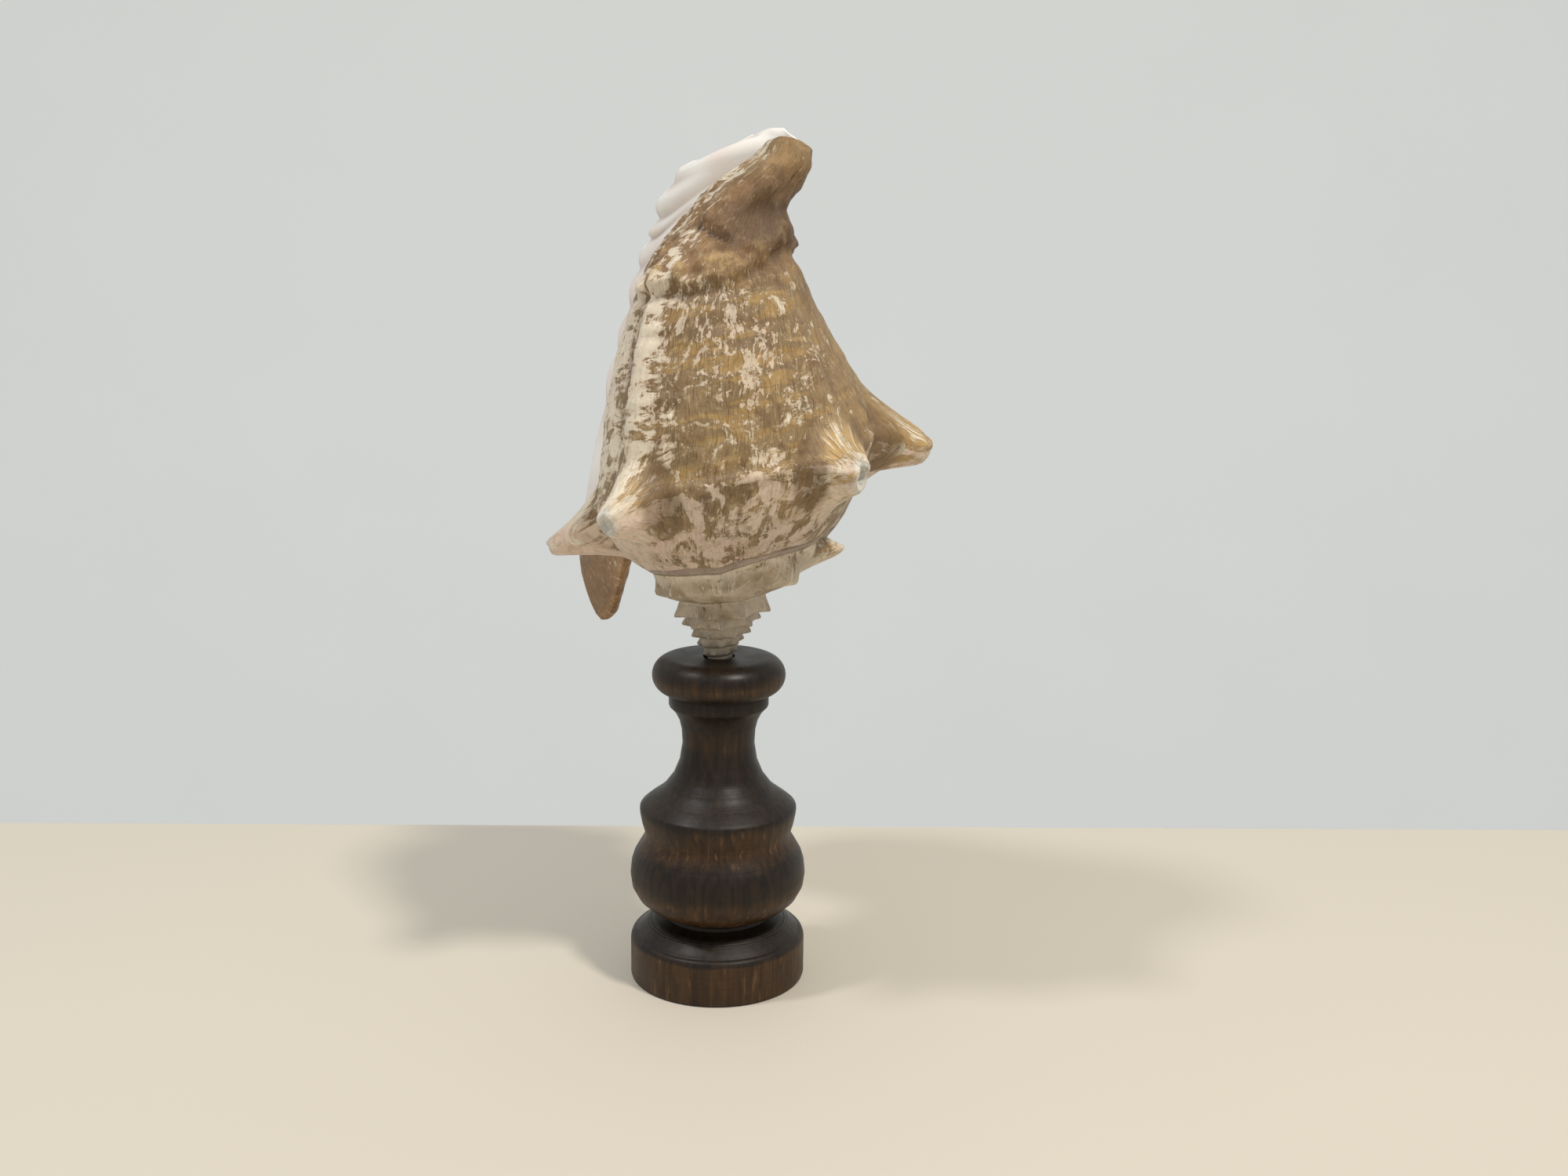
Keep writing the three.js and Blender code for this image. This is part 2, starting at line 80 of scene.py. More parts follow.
# Growth angle, radius, height of the line that the next whorl covers
COVERED = [
    (-2880, 5, 159.5), (-2520, 5.9, 164), (-2160, 7.9, 169), (-1800, 10.2, 174), (-1440, 13.2, 179.8),
    (-1080, 16.8, 186), (-720, 21.4, 194.6), (-620, 26, 199.6), (-540, 31, 203.2), (-502, 34.4, 205.2),
    (-450, 39, 209.6), (-414, 43, 216.5), (-360, 46.5, 219.5), (-300, 49, 221), (-222, 52.4, 225),
    (-180, 56.6, 235), (-126, 60.4, 249), (-36, 67.4, 269), (12, 73.6, 280), (90, 80.8, 293),
]
RAMP_SWELL = 0.05
SHOULDER_SWELL = 0.03
RAMP_SAG = 0.7
TIP_RADII = (4.4, 5.0)
TIP_HEIGHT = 157.0
TIP_END = 152.5
WALL_MERIDIANS = (-450.0, -222.0, -90.0, 0.0, 90.0)
# Height, radii of the wall at the meridians
WALL = [
    (215, 42, 54, 68, 88, 100), (240, 36, 52.5, 64, 81, 92), (255, 33, 51.3, 61.5, 77, 87),
    (270, 30.5, 50, 58.7, 71.6, 82.5), (285, 28.5, 48.2, 55.5, 65.5, 76), (300, 26.5, 46, 51.5, 58.3, 68),
    (312, 25, 43.8, 47.8, 52.2, 60), (326, 23, 40, 43, 45.2, 51), (340, 20, 34.8, 37.4, 38.6, 42.5),
    (351, 17, 30.8, 32.4, 33.2, 35.5), (362, 13, 25.6, 26.6, 27.4, 29), (371, 9.5, 21.6, 21.8, 22, 22.8),
    (380, 7, 20.2, 20.4, 20.4, 20.6), (390, 5.2, 16.6, 16.6, 16.6, 16.8), (398, 4, 12.4, 12.5, 12.5, 12.6),
    (410, 2.6, 7.4, 7.4, 7.4, 7.4),
]
# Height, shift of the canal in x and y
CANAL_BEND = [
    (335, 0, 0), (351, 1, 0), (362, 3.6, 0), (371, 6.8, 0), (380, 13, 1), (390, 23.5, 2), (398, 28.5, 3),
    (410, 31, 5),
]
TWIST_BAND = (335.0, 378.0)
# Growth angle, azimuth above the twist band
TWIST = [
    (-450, -446), (-330, -318), (-222, -180), (-162, -138), (-102, -92), (-42, -40), (20, 18), (75, 66),
]
# Growth angle, height of the canal's rim
CANAL_RIM = [
    (-450, 399), (-222, 400), (-162, 403), (-102, 404), (-60, 402.5), (0, 399), (40, 401), (75, 405),
]
# Row, x, y, z of the wing's margin
WING_MARGIN = [
    (-1, -62.5, 86.5, 162.5), (-0.82, -67.5, 91, 168), (-0.5, -74.5, 98, 189), (0, -74, 110, 214),
    (0.12, -71, 118, 234), (0.27, -66, 122, 257), (0.4, -61, 119, 284), (0.55, -52, 109, 313),
    (0.62, -46.5, 102, 331), (0.69, -41.5, 94, 347), (0.75, -36, 85.5, 358.5), (0.81, -31.6, 79, 367.7),
    (0.86, -28, 72, 378.5), (0.905, -19.5, 65, 389.5), (0.94, -7.5, 58, 395), (0.965, 5.5, 53, 397),
    (0.98, 10.5, 49, 402.5), (0.99, 14.5, 45, 404), (1, 22.2, 39, 401.5),
]
ARRIVAL = np.array([-0.355, 0.935, 0.0])
ARRIVAL /= np.linalg.norm(ARRIVAL)
LEAVING_PULL = 0.95
ARRIVING_PULL = 0.8
WING_WAVES = 9
WAVE_CROWDING = 2.2
WAVE_LOW = 0.6
WAVE_HIGH = 3.0
WAVE_GAIN = 1.9
WAVE_MEAN = 0.64
WAVE_PHASE = 0.4
WAVE_BLUNTNESS = 0.05
# Growth angle, x, y, z of the wing's hind edge
HIND_EDGE = [
    (138, -38.9, 35.1, 225), (158, -46, 53, 204), (178, -53, 70.5, 182), (190, -57.5, 79.5, 168.5),
    (198, -62.5, 86.5, 162.5),
]
# Growth angle, tip azimuth, tip radius, tip height, half widths around and along, bluntness,
# height of the fold above it, depth of the hollow in its tip, whiteness of its tip
SPINES = [
    (-348, 14, 60.5, 212, 13, 14, 0.4, 2, 0, 0.3), (-300, 62, 61, 212, 13, 14, 0.36, 2, 0, 0.3),
    (-246, 114, 65, 209, 13, 14, 0.36, 2, 0, 0.3), (-180, 180, 83.5, 213, 16, 21, 0.38, 2.5, 2.5, 0.5),
    (-126, 236, 85, 235.5, 18, 22, 0.5, 4, 4.5, 0.9), (-36, 319, 87, 256, 20, 25, 0.52, 2.5, 6, 0.9),
    (12, 10, 102.5, 262, 20, 23, 0.58, 0.6, 0, 0), (48, 49, 93, 270, 17, 24, 0.42, 2, 0, 0.3),
]
SECOND_SPINE = SPINES[4][0]
FOLD_WIDTH = 7.0
FOLD_LEAN = 13.0
FOLD_RISE = (0.0, 0.12)
FOLD_FADE = (0.3, 0.75)
NODULE_STEP = 48
FIRST_NODULE = -396
NODULE_REACH = 0.17
NODULE_DROOP = 0.075
NODULE_WIDTH = 0.33
NODULE_TIP = 0.24
NODULE_WHITE = 0.2
SPINE_SPREAD = 36.0
SPINE_TAPER = 0.36
SPINE_SHARPNESS = 1.3
SPINE_DOME = 0.15
# Shares of a tip's blunt part over which its hollow and its whiteness end
CUP_END = (0.3, 0.75)
WHITE_END = (0.7, 1.05)
SPINE_WEAR = 0.5
WALL_JOIN = 0.45
HEADING_TURN = 4.0
RAMP_ROWS = np.concatenate([np.linspace(-1, -0.45, 6), np.linspace(-0.38, 0, 12)])
BODY_ROWS = np.concatenate([np.linspace(0.012, 0.3, 24), np.linspace(0.312, 1, 56)])
JOIN_ROWS = 0.1
COVER_ROWS = 0.03
# Steps over which the surface's direction is measured
PROBE_TURN = 0.5
PROBE_ROW = 0.03
MARGIN_PROBE = 6
RIM_TURNS = (30, 60, 90, 120, 150)
RIM_ROUNDING = 0.4

# Where the inside's glaze spills out and ends. Its ragged edge is at 0.6 to 0.74
SPILL = ((-268, -246), (-216, -196))
SPILL_ROWS = (-0.85, -0.5)
LIP_GLAZE = (INNER_LIP - 4, INNER_LIP + 14)
HIND_DULL = (128, 150)
HIND_DULL_ROWS = (-0.45, -0.2)
MARGIN_GLAZE = 0.75
HIND_GLAZE = -0.4
CANAL_GLAZE = 0.7
RIM_GLAZE_STEP = 0.08

# Detail of the surface that the CAD leaves out
LAST_WHORL = (-460, -430)
FULL_RADIUS = 60
RIDGE_DRIFT = 2.5
COARSE_RIDGE = 0.34
COARSE_SPACING = 4.2
FINE_RIDGE = 0.16
FINE_SPACING = 1.9
CORDS = 18
CORD_WANDER = 0.35
CORD_HEIGHT = 0.16
CORD_EXTRA_LEFT = 0.34
CORD_END = (0.55, 0.7)
LEFT_END = (-115, -60)
CANAL_ROUGHNESS = 1.2
CANAL_END = (362, 380)
DENT_DEPTH = 0.5
DENT_SIZE = 11.0
PIT_DEPTH = 0.3
PIT_SIZE = 4.5
# The rib over the second spine, by row, and how far to its left the valley and the crest lie
RIB_ROWS = ((0.05, 0.2), (0.62, 0.8))
VALLEY_SIDE = 13.0
VALLEY_DEPTH = 1.7
VALLEY_WIDTH = 6.0
CREST_SIDE = 5
CREST_WANDER = 1.5
CREST_HEIGHT = 1.1
CREST_WIDTH = 3.5
# The neck's ledge and the groove above it, by growth angle and height
NECK_FROM = 0.2
LEDGE = [
    (-180, 333), (-133, 336), (-110, 337.5), (-78, 342), (-58, 349), (-38, 355), (-15, 356), (20, 352),
    (60, 348),
]
LEDGE_HEIGHT = 4.2
LEDGE_WANDER = 1.6
LEDGE_SPAN = ((-185, -150), (0, 45))
WELT_BAND = ((340, 350), (385, 398))
WELT_FROM = 350
WELT_LEAN = 1.4
GROOVE = [(-160, 366), (-133, 364), (-110, 361), (-95, 358), (-80, 352)]
GROOVE_START = (-150, -135)
GROOVE_DEPTH = 2.0
GROOVE_WIDTH = 1.5
BANK_HEIGHT = 1.5
# Where the painted shade in the furrows inside the wing starts and how deep it is, and how far in growth the
# cavity shading looks
FURROW_START = 130
FURROW_DEPTH = 3.0
CAVITY_REACH = 6
# Distance from the CAD's box within which the surface is pressed back
SOFT_EDGE = 1.2
HASH_STEP = 7919
HASH_START = 17
HASH_FACTOR = 2654435761

# --- stand, in mm
# Radius, height, how worn the varnish is
STAND_OUTLINE = [
    (0, 0, 0), (42, 0, 0.5), (42.9, 0.4, 0.6), (43.2, 1.4, 0.8), (43.2, 10, 1), (43.2, 18.6, 0.9),
    (43, 20, 0.5), (42.5, 21.4, 0.3), (41.5, 22.5, 0.2), (40.5, 22.7, 0), (40.1, 22.9, 0), (39.7, 23.5, 0),
    (36.8, 25.9, 0.1), (34.9, 27.4, 0), (34.5, 27.4, 0), (34.2, 27.9, 0), (33.5, 28.3, 0), (33.1, 28.2, 0),
    (32.8, 28.6, 0), (28.4, 29.8, 0), (26.2, 31, 0), (25.6, 32.4, 0), (26.6, 33.6, 0), (29, 34.4, 0.2),
    (34.4, 36.9, 0.6), (39.4, 41.4, 0.9), (42.4, 47, 0.8), (43.2, 53, 0.4), (42.6, 59, 0.25), (41.3, 63, 0.3),
    (38.8, 67.4, 0.6), (36.4, 71.4, 0.8), (35.8, 73.2, 0.9), (36.2, 75, 0.9), (37.4, 79, 0.8),
    (38.3, 83.6, 0.6), (38.5, 85.6, 0.4), (38.4, 87, 0.2), (37.9, 87.8, 0), (36.6, 88.9, 0), (34, 91, 0),
    (30.4, 93.6, 0), (27, 96.4, 0.05), (22, 103, 0.1), (19, 110.4, 0.2), (17.6, 119, 0.5), (18, 126, 0.45),
    (19.2, 131, 0.2), (21.2, 134.8, 0), (23.3, 137.2, 0), (23.9, 137.7, 0), (24.3, 138.6, 0.2),
    (24.3, 143, 0.1), (24, 144, 0), (24.3, 144.4, 0),
]
STAND_TOP = 162.3
HOLE_RADIUS = 7.6
HOLE_FLOOR = 152.1
STAND_HOLE = [
    *((radius, STAND_TOP, 0.15) for radius in (22.4, 20, 16, 12, 9.2)),
    (HOLE_RADIUS + 0.5, STAND_TOP, 0.3), (HOLE_RADIUS + 0.12, STAND_TOP - 0.15, 0.3),
    (HOLE_RADIUS, STAND_TOP - 0.6, 0), (HOLE_RADIUS, HOLE_FLOOR, 0), (0, HOLE_FLOOR, 0),
]
# Rounded rim around the stand's top, swept upward in degrees, and the steps where it is worn
LIP_CENTRE_RADIUS = 23.4
LIP_RADIUS = 9.0
LIP_START = -84
LIP_SWEEP = 174
LIP_STEPS = 32
LIP_WORN = 0.75
LIP_WORN_AT = 13
LIP_WORN_REACH = 12
STAND_STEP = 1.6
STAND_SIDES = 160
SHARP_DEGREES = 38

# --- looks
# Colours as a picture shows them, 0 to 255
COLORS = {
    "black": (0, 0, 0),
    "cream": (233, 216, 186), "deep_cream": (203, 180, 148), "rosy_cream": (216, 188, 166),
    "pale_pink": (234, 215, 188), "pink": (234, 204, 188), "pink_grit": (176, 148, 112),
    "pink_thread": (224, 206, 180), "grey": (204, 187, 163), "deep_grey": (164, 145, 118),
    "tan": (153, 127, 87), "deep_tan": (135, 109, 75), "left_tan": (146, 122, 92), "golden": (182, 145, 84),
    "right_tan": (164, 130, 84), "neck_tan": (146, 108, 68), "ramp_tan": (164, 136, 98),
    "spine_tan": (212, 174, 112), "knob_tan": (182, 148, 98), "wing_tan": (158, 112, 66),
    "brown_blot": (112, 84, 52), "pale_speck": (200, 176, 134), "neck_grit": (190, 152, 104),
    "pale_thread": (190, 164, 118), "dark_hair": (104, 78, 48),
    "film": (182, 154, 112), "flake": (236, 220, 194), "chip": (234, 222, 198),
    "growth_line": (238, 226, 200), "ring": (112, 88, 60), "ledge": (214, 180, 120),
    "dirt": (108, 88, 68), "hollow_dirt": (112, 86, 56), "neck_shade": (84, 60, 40),
    "broken": (232, 226, 212), "grey_broken": (204, 204, 196),
    "glaze": (240, 235, 226), "rosy_glaze": (234, 214, 202), "glaze_furrow": (196, 172, 162),
    "varnish": (25, 18, 11), "varnish_grain": (42, 31, 20), "wood": (50, 33, 18), "wood_grain": (74, 52, 29),
    "fleck": (96, 70, 42), "floor": (212, 203, 186), "backdrop": (169, 170, 167),
}
# The surface's own centimetres for each degree of growth and each row
GROWTH_CM = 0.115
BODY_CM = 15.0
RAMP_CM = 5.0
WOBBLE_CM = 1.6
# Noises in space: scale, detail, roughness, distortion
NOISES = {
    "blobs": (55, 7, 0.66, 0.4), "clouds": (16, 3, 0.5), "speck": (330, 4, 0.7),
    "grit": (120, 5, 0.7),
}
# Noises that follow the growth: stretch along and across it and shift, then the same as above
FLOWING_NOISES = {
    "patches": ((0.75, 0.95, 0), (1.25, 8, 0.68, 0.5)),
    "streaks": ((3.2, 0.35, 4), (1.3, 5, 0.6, 0.2)),
    "hair": ((9, 0.8, 8), (1.6, 4, 0.62)),
    "threads": ((6, 0.5, 21), (1.6, 5, 0.66)),
    "bars": ((0.55, 2.6, 12), (1.2, 6, 0.62, 0.4)),
    "bands": ((0.16, 1.1, 17), (1.2, 4, 0.55, 0.3)),
    "flakes": ((1.5, 1.25, 31), (1.5, 6, 0.66, 0.3)),
}
# What the skin needs to hold on the ramp and on the body, and the middle of the bare hump between
NEED_ON_RAMP = 0.664
NEED_ON_BODY = 0.568
HUMP_ANGLE = -70.0
BARE_ROUGHNESS = 0.56
SKIN_ROUGHNESS = 0.46
GLAZE_ROUGHNESS = 0.14
SMOOTH_VARNISH = 0.36
DULL_VARNISH = 0.5

# --- stage, lights and camera, in metres
# The table's far edge, and a lit wall well behind it, so that the back can be looked at too
TABLE_EDGE = 0.209
EDGE_SLOPE = 0.026
TABLE_REACH = 8
WALL_Y = 3.0
WALL_REACH = 6
WALL_LOW = -3
WALL_TOP = 4
LAMP_SIZE = 0.24
LAMP_TARGET = Vector((0, 0, 0.25))
WORLD_COLOR = (0.85, 0.88, 0.92)
WORLD_STRENGTH = 0.59
CAMERA_PLACE = (0.031, -0.720, 0.336)
CAMERA_PITCH = 11
CAMERA_ROLL = 0.78
SENSOR_WIDTH = 36
PICTURE_PIXELS = 2000
FOCAL_PIXELS = 1950


def curve(rows, x):
    """Smooth curve through rows of (x, values...), held past its ends. Adds a last axis of values."""
    table = np.asarray(rows, float)
    xs, ys = table[:, 0], table[:, 1:]
    slope = np.empty_like(ys)
    slope[1:-1] = (ys[2:] - ys[:-2]) / (xs[2:] - xs[:-2])[:, None]
    slope[0] = (ys[1] - ys[0]) / (xs[1] - xs[0])
    slope[-1] = (ys[-1] - ys[-2]) / (xs[-1] - xs[-2])
    x = np.clip(np.asarray(x, float), xs[0], xs[-1])
    k = np.clip(np.searchsorted(xs, x, "right") - 1, 0, len(xs) - 2)
    span = (xs[k + 1] - xs[k])[..., None]
    t = (x - xs[k])[..., None] / span
    return hermite(ys[k], slope[k] * span, ys[k + 1], slope[k + 1] * span, t)


def hermite(p, dp, q, dq, t):
    t2, t3 = t * t, t * t * t
    return (2 * t3 - 3 * t2 + 1) * p + (t3 - 2 * t2 + t) * dp + (3 * t2 - 2 * t3) * q + (t3 - t2) * dq


def lerp(a, b, t):
    return a + (b - a) * t


def ease(x, low, high):
    t = np.clip((x - low) / (high - low), 0, 1)
    return t * t * (3 - 2 * t)


def window(x, rise, fall):
    """1 between two smooth flanks, 0 outside them."""
    return ease(x, *rise) * (1 - ease(x, *fall))


def paired(a, b):
    return np.broadcast_arrays(np.asarray(a, float), np.asarray(b, float))


def polar(r, angle, z):
    a = np.radians(angle)
    return np.stack([r * np.cos(a), r * np.sin(a), z + 0 * r], -1)


def wall_radius(angle, z):
    """Radius of the body's wall, blended smoothly from the radii at the meridians."""
    shares = curve(np.column_stack([WALL_MERIDIANS, np.eye(len(WALL_MERIDIANS))]), angle)
    return (shares * curve(WALL, z)).sum(-1)


def fold_height(angle, v):
    """Height of the folds that run up from the spines."""
    folds = [
        fold * np.exp(-(((angle - at + FOLD_LEAN * v) / FOLD_WIDTH) ** 2)) for at, *_, fold, _, _ in SPINES]
    return window(v, FOLD_RISE, FOLD_FADE) * np.max(folds, axis=0)


def wall_point(angle, v):
    """The body's wall, from the covered line (v = 0) to the canal's rim (1)."""
    angle, v = paired(angle, v)
    start = curve(COVERED, angle)
    rim = curve(CANAL_RIM, angle)[..., 0]
    z = lerp(start[..., 1], rim, v)
    gap = start[..., 0] - wall_radius(angle, start[..., 1])
    joined = wall_radius(angle, z) + gap * (1 - ease(v, 0, WALL_JOIN))
    azimuth = lerp(angle, curve(TWIST, angle)[..., 0], ease(z, *TWIST_BAND))
    p = polar(joined + fold_height(angle, v), azimuth, z)
    p[..., :2] += curve(CANAL_BEND, z)
    return p


def ramp_point(angle, u):
    """The sloping ramp of a whorl, from the suture (u = 0) over the crest to the covered line (1)."""
    angle, u = paired(angle, u)
    first = (angle - TURN < APEX)[..., None]
    tip = np.stack([lerp(*TIP_RADII, (angle - APEX) / TURN), TIP_HEIGHT + 0 * angle], -1)
    suture = np.where(first, tip, curve(COVERED, angle - TURN))
    crest, covered = curve(CREST, angle), curve(COVERED, angle)
    crest_at = 1 + CREST_ROW
    t = np.minimum(u / crest_at, 1)
    past = np.clip((u - crest_at) / (1 - crest_at), 0, 1)
    swell = 4 * t * (1 - t) * RAMP_SWELL * crest[..., 0]
    fullness = SHOULDER_SWELL * crest[..., 0] * np.sin(np.pi * past)
    radius = lerp(lerp(suture[..., 0], crest[..., 0], t), covered[..., 0], past) + swell + fullness
    height = lerp(lerp(suture[..., 1], crest[..., 1], t), covered[..., 1], past) - swell * RAMP_SAG
    return polar(radius, angle, height)


def wing_lobes(v):
    """Puffed lobes along the wing: 1 on their tops, low in the furrows between them."""
    swing = np.sin(np.pi * WING_WAVES * np.maximum(v, 0) ** WAVE_CROWDING + WAVE_PHASE)
    return np.sqrt(swing ** 2 + WAVE_BLUNTNESS) / math.sqrt(1 + WAVE_BLUNTNESS)


def wing_point(angle, v):
    """The wing, from the wall (WING_START) to the margin (MARGIN)."""
    angle, v = paired(angle, v)
    start = wall_point(WING_START, v)
    heading = start - wall_point(WING_START - HEADING_TURN, v)
    heading = heading / np.linalg.norm(heading, axis=-1, keepdims=True)
    end = curve(WING_MARGIN, v)
    t = ((angle - WING_START) / (MARGIN - WING_START))[..., None]
    reach = np.linalg.norm(end - start, axis=-1, keepdims=True)
    p = hermite(start, heading * reach * LEAVING_PULL, end, ARRIVAL * reach * ARRIVING_PULL, t)
    outward = np.array([ARRIVAL[1], -ARRIVAL[0], 0])
    wave = -WAVE_GAIN * lerp(WAVE_LOW, WAVE_HIGH, v) * (wing_lobes(v) - WAVE_MEAN)
    return p + outward * wave[..., None] * t ** 3


def hind_point(angle, u):
    """The wing's lower part, from its hind edge (u = 0) to the covered line (1)."""
    angle, u = paired(angle, u)
    w = u[..., None]
    suture = ramp_point(angle, 0.0)
    foot = np.where((angle > CORNER)[..., None], curve(HIND_EDGE, angle), suture)
    body_chord = lerp(suture, ramp_point(angle, 1.0), w)
    bulge = (ramp_point(angle, u) - body_chord) * (1 - ease(angle, WING_START, CORNER))[..., None]
    chord = lerp(curve(WING_MARGIN, -1.0), curve(WING_MARGIN, 0.0), w)
    margin_bulge = (curve(WING_MARGIN, u - 1) - chord) * ease(angle, WING_START, MARGIN)[..., None]
    return lerp(foot, wing_point(angle, 0.0), w) + bulge + margin_bulge


def base_point(angle, s):
    """The shell's surface without spines and relief."""
    angle, s = paired(angle, s)
    out = np.zeros(angle.shape + (3,))
    wing = angle > WING_START
    parts = ((~wing, ramp_point, 1), (~wing, wall_point, 0), (wing, hind_point, 1), (wing, wing_point, 0))
    for mask, point, start in parts:
        part = mask & (s < 0 if start else s >= 0)
        if part.any():
            out[part] = point(angle[part], start + s[part])
    return out


def list_spines():
    """Angle, foot, tip, half widths, bluntness, hollow and whiteness of each spine and nodule."""
    rows = []
    for angle, tip_angle, tip_radius, tip_height, around, along, blunt, _, hollow, white in SPINES:
        tip = polar(np.float64(tip_radius), tip_angle, tip_height)
        rows.append((float(angle), tip, around, along, blunt, hollow, white))
    angle = FIRST_NODULE
    while angle > APEX + TURN:
        radius, height = curve(CREST, float(angle))
        tip = polar(radius * (1 + NODULE_REACH), angle, height - radius * NODULE_DROOP)
        wide = radius * NODULE_WIDTH
        rows.append((float(angle), tip, wide, wide, NODULE_TIP, 0, NODULE_WHITE))
        angle -= NODULE_STEP
    return [(row[0], base_point(row[0], CREST_ROW), *row[1:]) for row in rows]


def spine_push(p, angle):
    """Push of the spines on points, how white each point is as a broken tip, and how worn."""
    push = np.zeros_like(p)
    tip_white = np.zeros(p.shape[:-1])
    worn = np.zeros(p.shape[:-1])
    angle = np.broadcast_to(angle, p.shape[:-1])
    for at, foot, tip, wide, long, blunt, hollow, white in SPINE_LIST:
        near = np.abs(angle - at) <= SPINE_SPREAD
        if not near.any():
            continue
        q, a = p[near], np.radians(angle[near])
        away = q - foot
        around = np.stack([-np.sin(a), np.cos(a), 0 * a], -1)
        side = (away * around).sum(-1)
        rise = np.sqrt(np.maximum((away ** 2).sum(-1) - side * side, 0))
        distance = np.hypot(side / wide, rise / long)
        dome = 1 - SPINE_DOME * np.minimum(distance / blunt, 1) ** 2
        level = dome * (1 - np.clip((distance - blunt) / (1 - blunt), 0, 1)) ** SPINE_SHARPNESS
        level = np.where(distance < 1, level, 0)
        reach = tip - foot
        axis = reach / np.linalg.norm(reach)
        sideways = away - (away @ axis)[:, None] * axis
        cup = hollow * (1 - ease(distance / blunt, *CUP_END))
        push[near] += (reach - SPINE_TAPER * sideways) * level[:, None] - axis * cup[:, None]
        broken = white * (1 - ease(distance / blunt, *WHITE_END))
        tip_white[near] = np.maximum(tip_white[near], broken)
        worn[near] = np.maximum(worn[near], min(1, SPINE_WEAR + white) * level)
    return push, tip_white, worn


def value_noise(p, seed):
    """Smooth noise from -1 to 1 at points of any dimension."""
    cell = np.floor(p).astype(np.int64)
    f = p - cell
    f = f * f * (3 - 2 * f)
    total = np.zeros(p.shape[:-1])
    for corner in range(2 ** p.shape[-1]):
        h = np.full(p.shape[:-1], seed * HASH_STEP + HASH_START, np.int64)
        weight = np.ones(p.shape[:-1])
        for d in range(p.shape[-1]):
            bit = (corner >> d) & 1
            h = (h ^ (cell[..., d] + bit)) * HASH_FACTOR % 2 ** 32
            h = h ^ (h >> 13)
            weight = weight * (f[..., d] if bit else 1 - f[..., d])
        total += weight * ((h % 2 ** 16) / (2 ** 15 - 0.5) - 1)
    return total


def noise_on(*axes, seed):
    return value_noise(np.stack(np.broadcast_arrays(*axes), -1), seed)


def rib_relief(angle, s, ridges):
    """Valley on the left of the rib over the second spine, and the rib's sharper crest."""
    from_rib = angle - SECOND_SPINE + FOLD_LEAN * s
    valley = np.exp(-(((from_rib + VALLEY_SIDE) / VALLEY_WIDTH) ** 2))
    crest = np.exp(-(((from_rib + CREST_SIDE + CREST_WANDER * ridges) / CREST_WIDTH) ** 2))
    return window(s, *RIB_ROWS) * (CREST_HEIGHT * crest - VALLEY_DEPTH * valley)


def neck_relief(angle, s, z):
    """Ledge around the neck with a furrow under it, oblique welts above it and a sharp groove."""
    line = curve(LEDGE, angle)[..., 0] + LEDGE_WANDER * noise_on(angle / 7, 0 * s, seed=8)
    above = z - line
    lumps = 0.75 + 0.45 * noise_on(angle / 12, z / 7, seed=10)
    ledge = LEDGE_HEIGHT * lumps * window(above, (-0.8, 1.4), (3, 26))
    furrow = 1.3 * np.exp(-(((above + 3.5) / 2.6) ** 2))
    welts = noise_on((angle + WELT_LEAN * (z - WELT_FROM)) / 9, z / 40, seed=11)
    drop = z - curve(GROOVE, angle)[..., 0]
    groove = GROOVE_DEPTH * np.exp(-((drop / GROOVE_WIDTH) ** 2)) * window(angle, GROOVE_START, (-92, -78))
    bank = BANK_HEIGHT * window(drop, (0, 2.5), (3, 16)) * window(angle, GROOVE_START, (-92, -60))
    out = window(angle, *LEDGE_SPAN) * (ledge - furrow) + welts * window(z, *WELT_BAND) - groove + bank
    return np.where(s > NECK_FROM, out, 0)


def relief(angle, s, p):
    """Raised and sunk detail of the outer surface, in mm."""
    z = p[..., 2]
    body = ease(s, -0.05, 0.05)
    last = ease(angle, *LAST_WHORL)
    # growth ridges that follow the lip's old edges, lower on the small whorls
    size = np.clip(np.hypot(p[..., 0], p[..., 1]) / FULL_RADIUS, 0.15, 1)
    drift = RIDGE_DRIFT * noise_on(angle / 22, s * 3, seed=5)
    coarse = noise_on((angle + drift) / COARSE_SPACING, s * 1.5, seed=1)
    fine = noise_on((angle + drift) / FINE_SPACING, s * 2.5, seed=2)
    out = size * (COARSE_RIDGE * coarse + FINE_RIDGE * fine)
    # spiral cords, stronger on the left
    cord = np.sin(2 * np.pi * (s * CORDS + CORD_WANDER * noise_on(angle / 30, s * 4, seed=3)))
    strength = CORD_HEIGHT + CORD_EXTRA_LEFT * (1 - ease(angle, *LEFT_END))
    patchy = ease(noise_on(angle / 11, s * 9, seed=9), -0.5, 0.5)
    out = out + body * last * (1 - ease(s, *CORD_END)) * cord * strength * patchy
    # worn dents and lumps, rougher at the canal's end
    rough = 1 + CANAL_ROUGHNESS * ease(z, *CANAL_END) * body
    dents = DENT_DEPTH * value_noise(p / DENT_SIZE, 4) + PIT_DEPTH * value_noise(p / PIT_SIZE, 6)
    return out + last * rough * dents + rib_relief(angle, s, coarse) + neck_relief(angle, s, z)


def cavity_of(grid, reach):
    """How far each point of a grid of surface points lies below its neighbours in growth, in mm."""
    before = np.concatenate([grid[:1]] * reach + [grid[:-reach]])
    after = np.concatenate([grid[reach:]] + [grid[-1:]] * reach)
    n = np.cross(after - before, np.gradient(grid, axis=1))
    n /= np.maximum(np.linalg.norm(n, axis=-1, keepdims=True), 1e-9)
    return (((before + after) / 2 - grid) * n).sum(-1)


def wall_thickness(angle, s):
    lip = ease(angle, WING_START, MARGIN - LIP_BAND)
    canal = ease(s, *CANAL_THINNING) * (1 - ease(angle, WING_START, CORNER))
    return lerp(lerp(SHELL_WALL, LIP_WALL, lip), CANAL_WALL, canal)


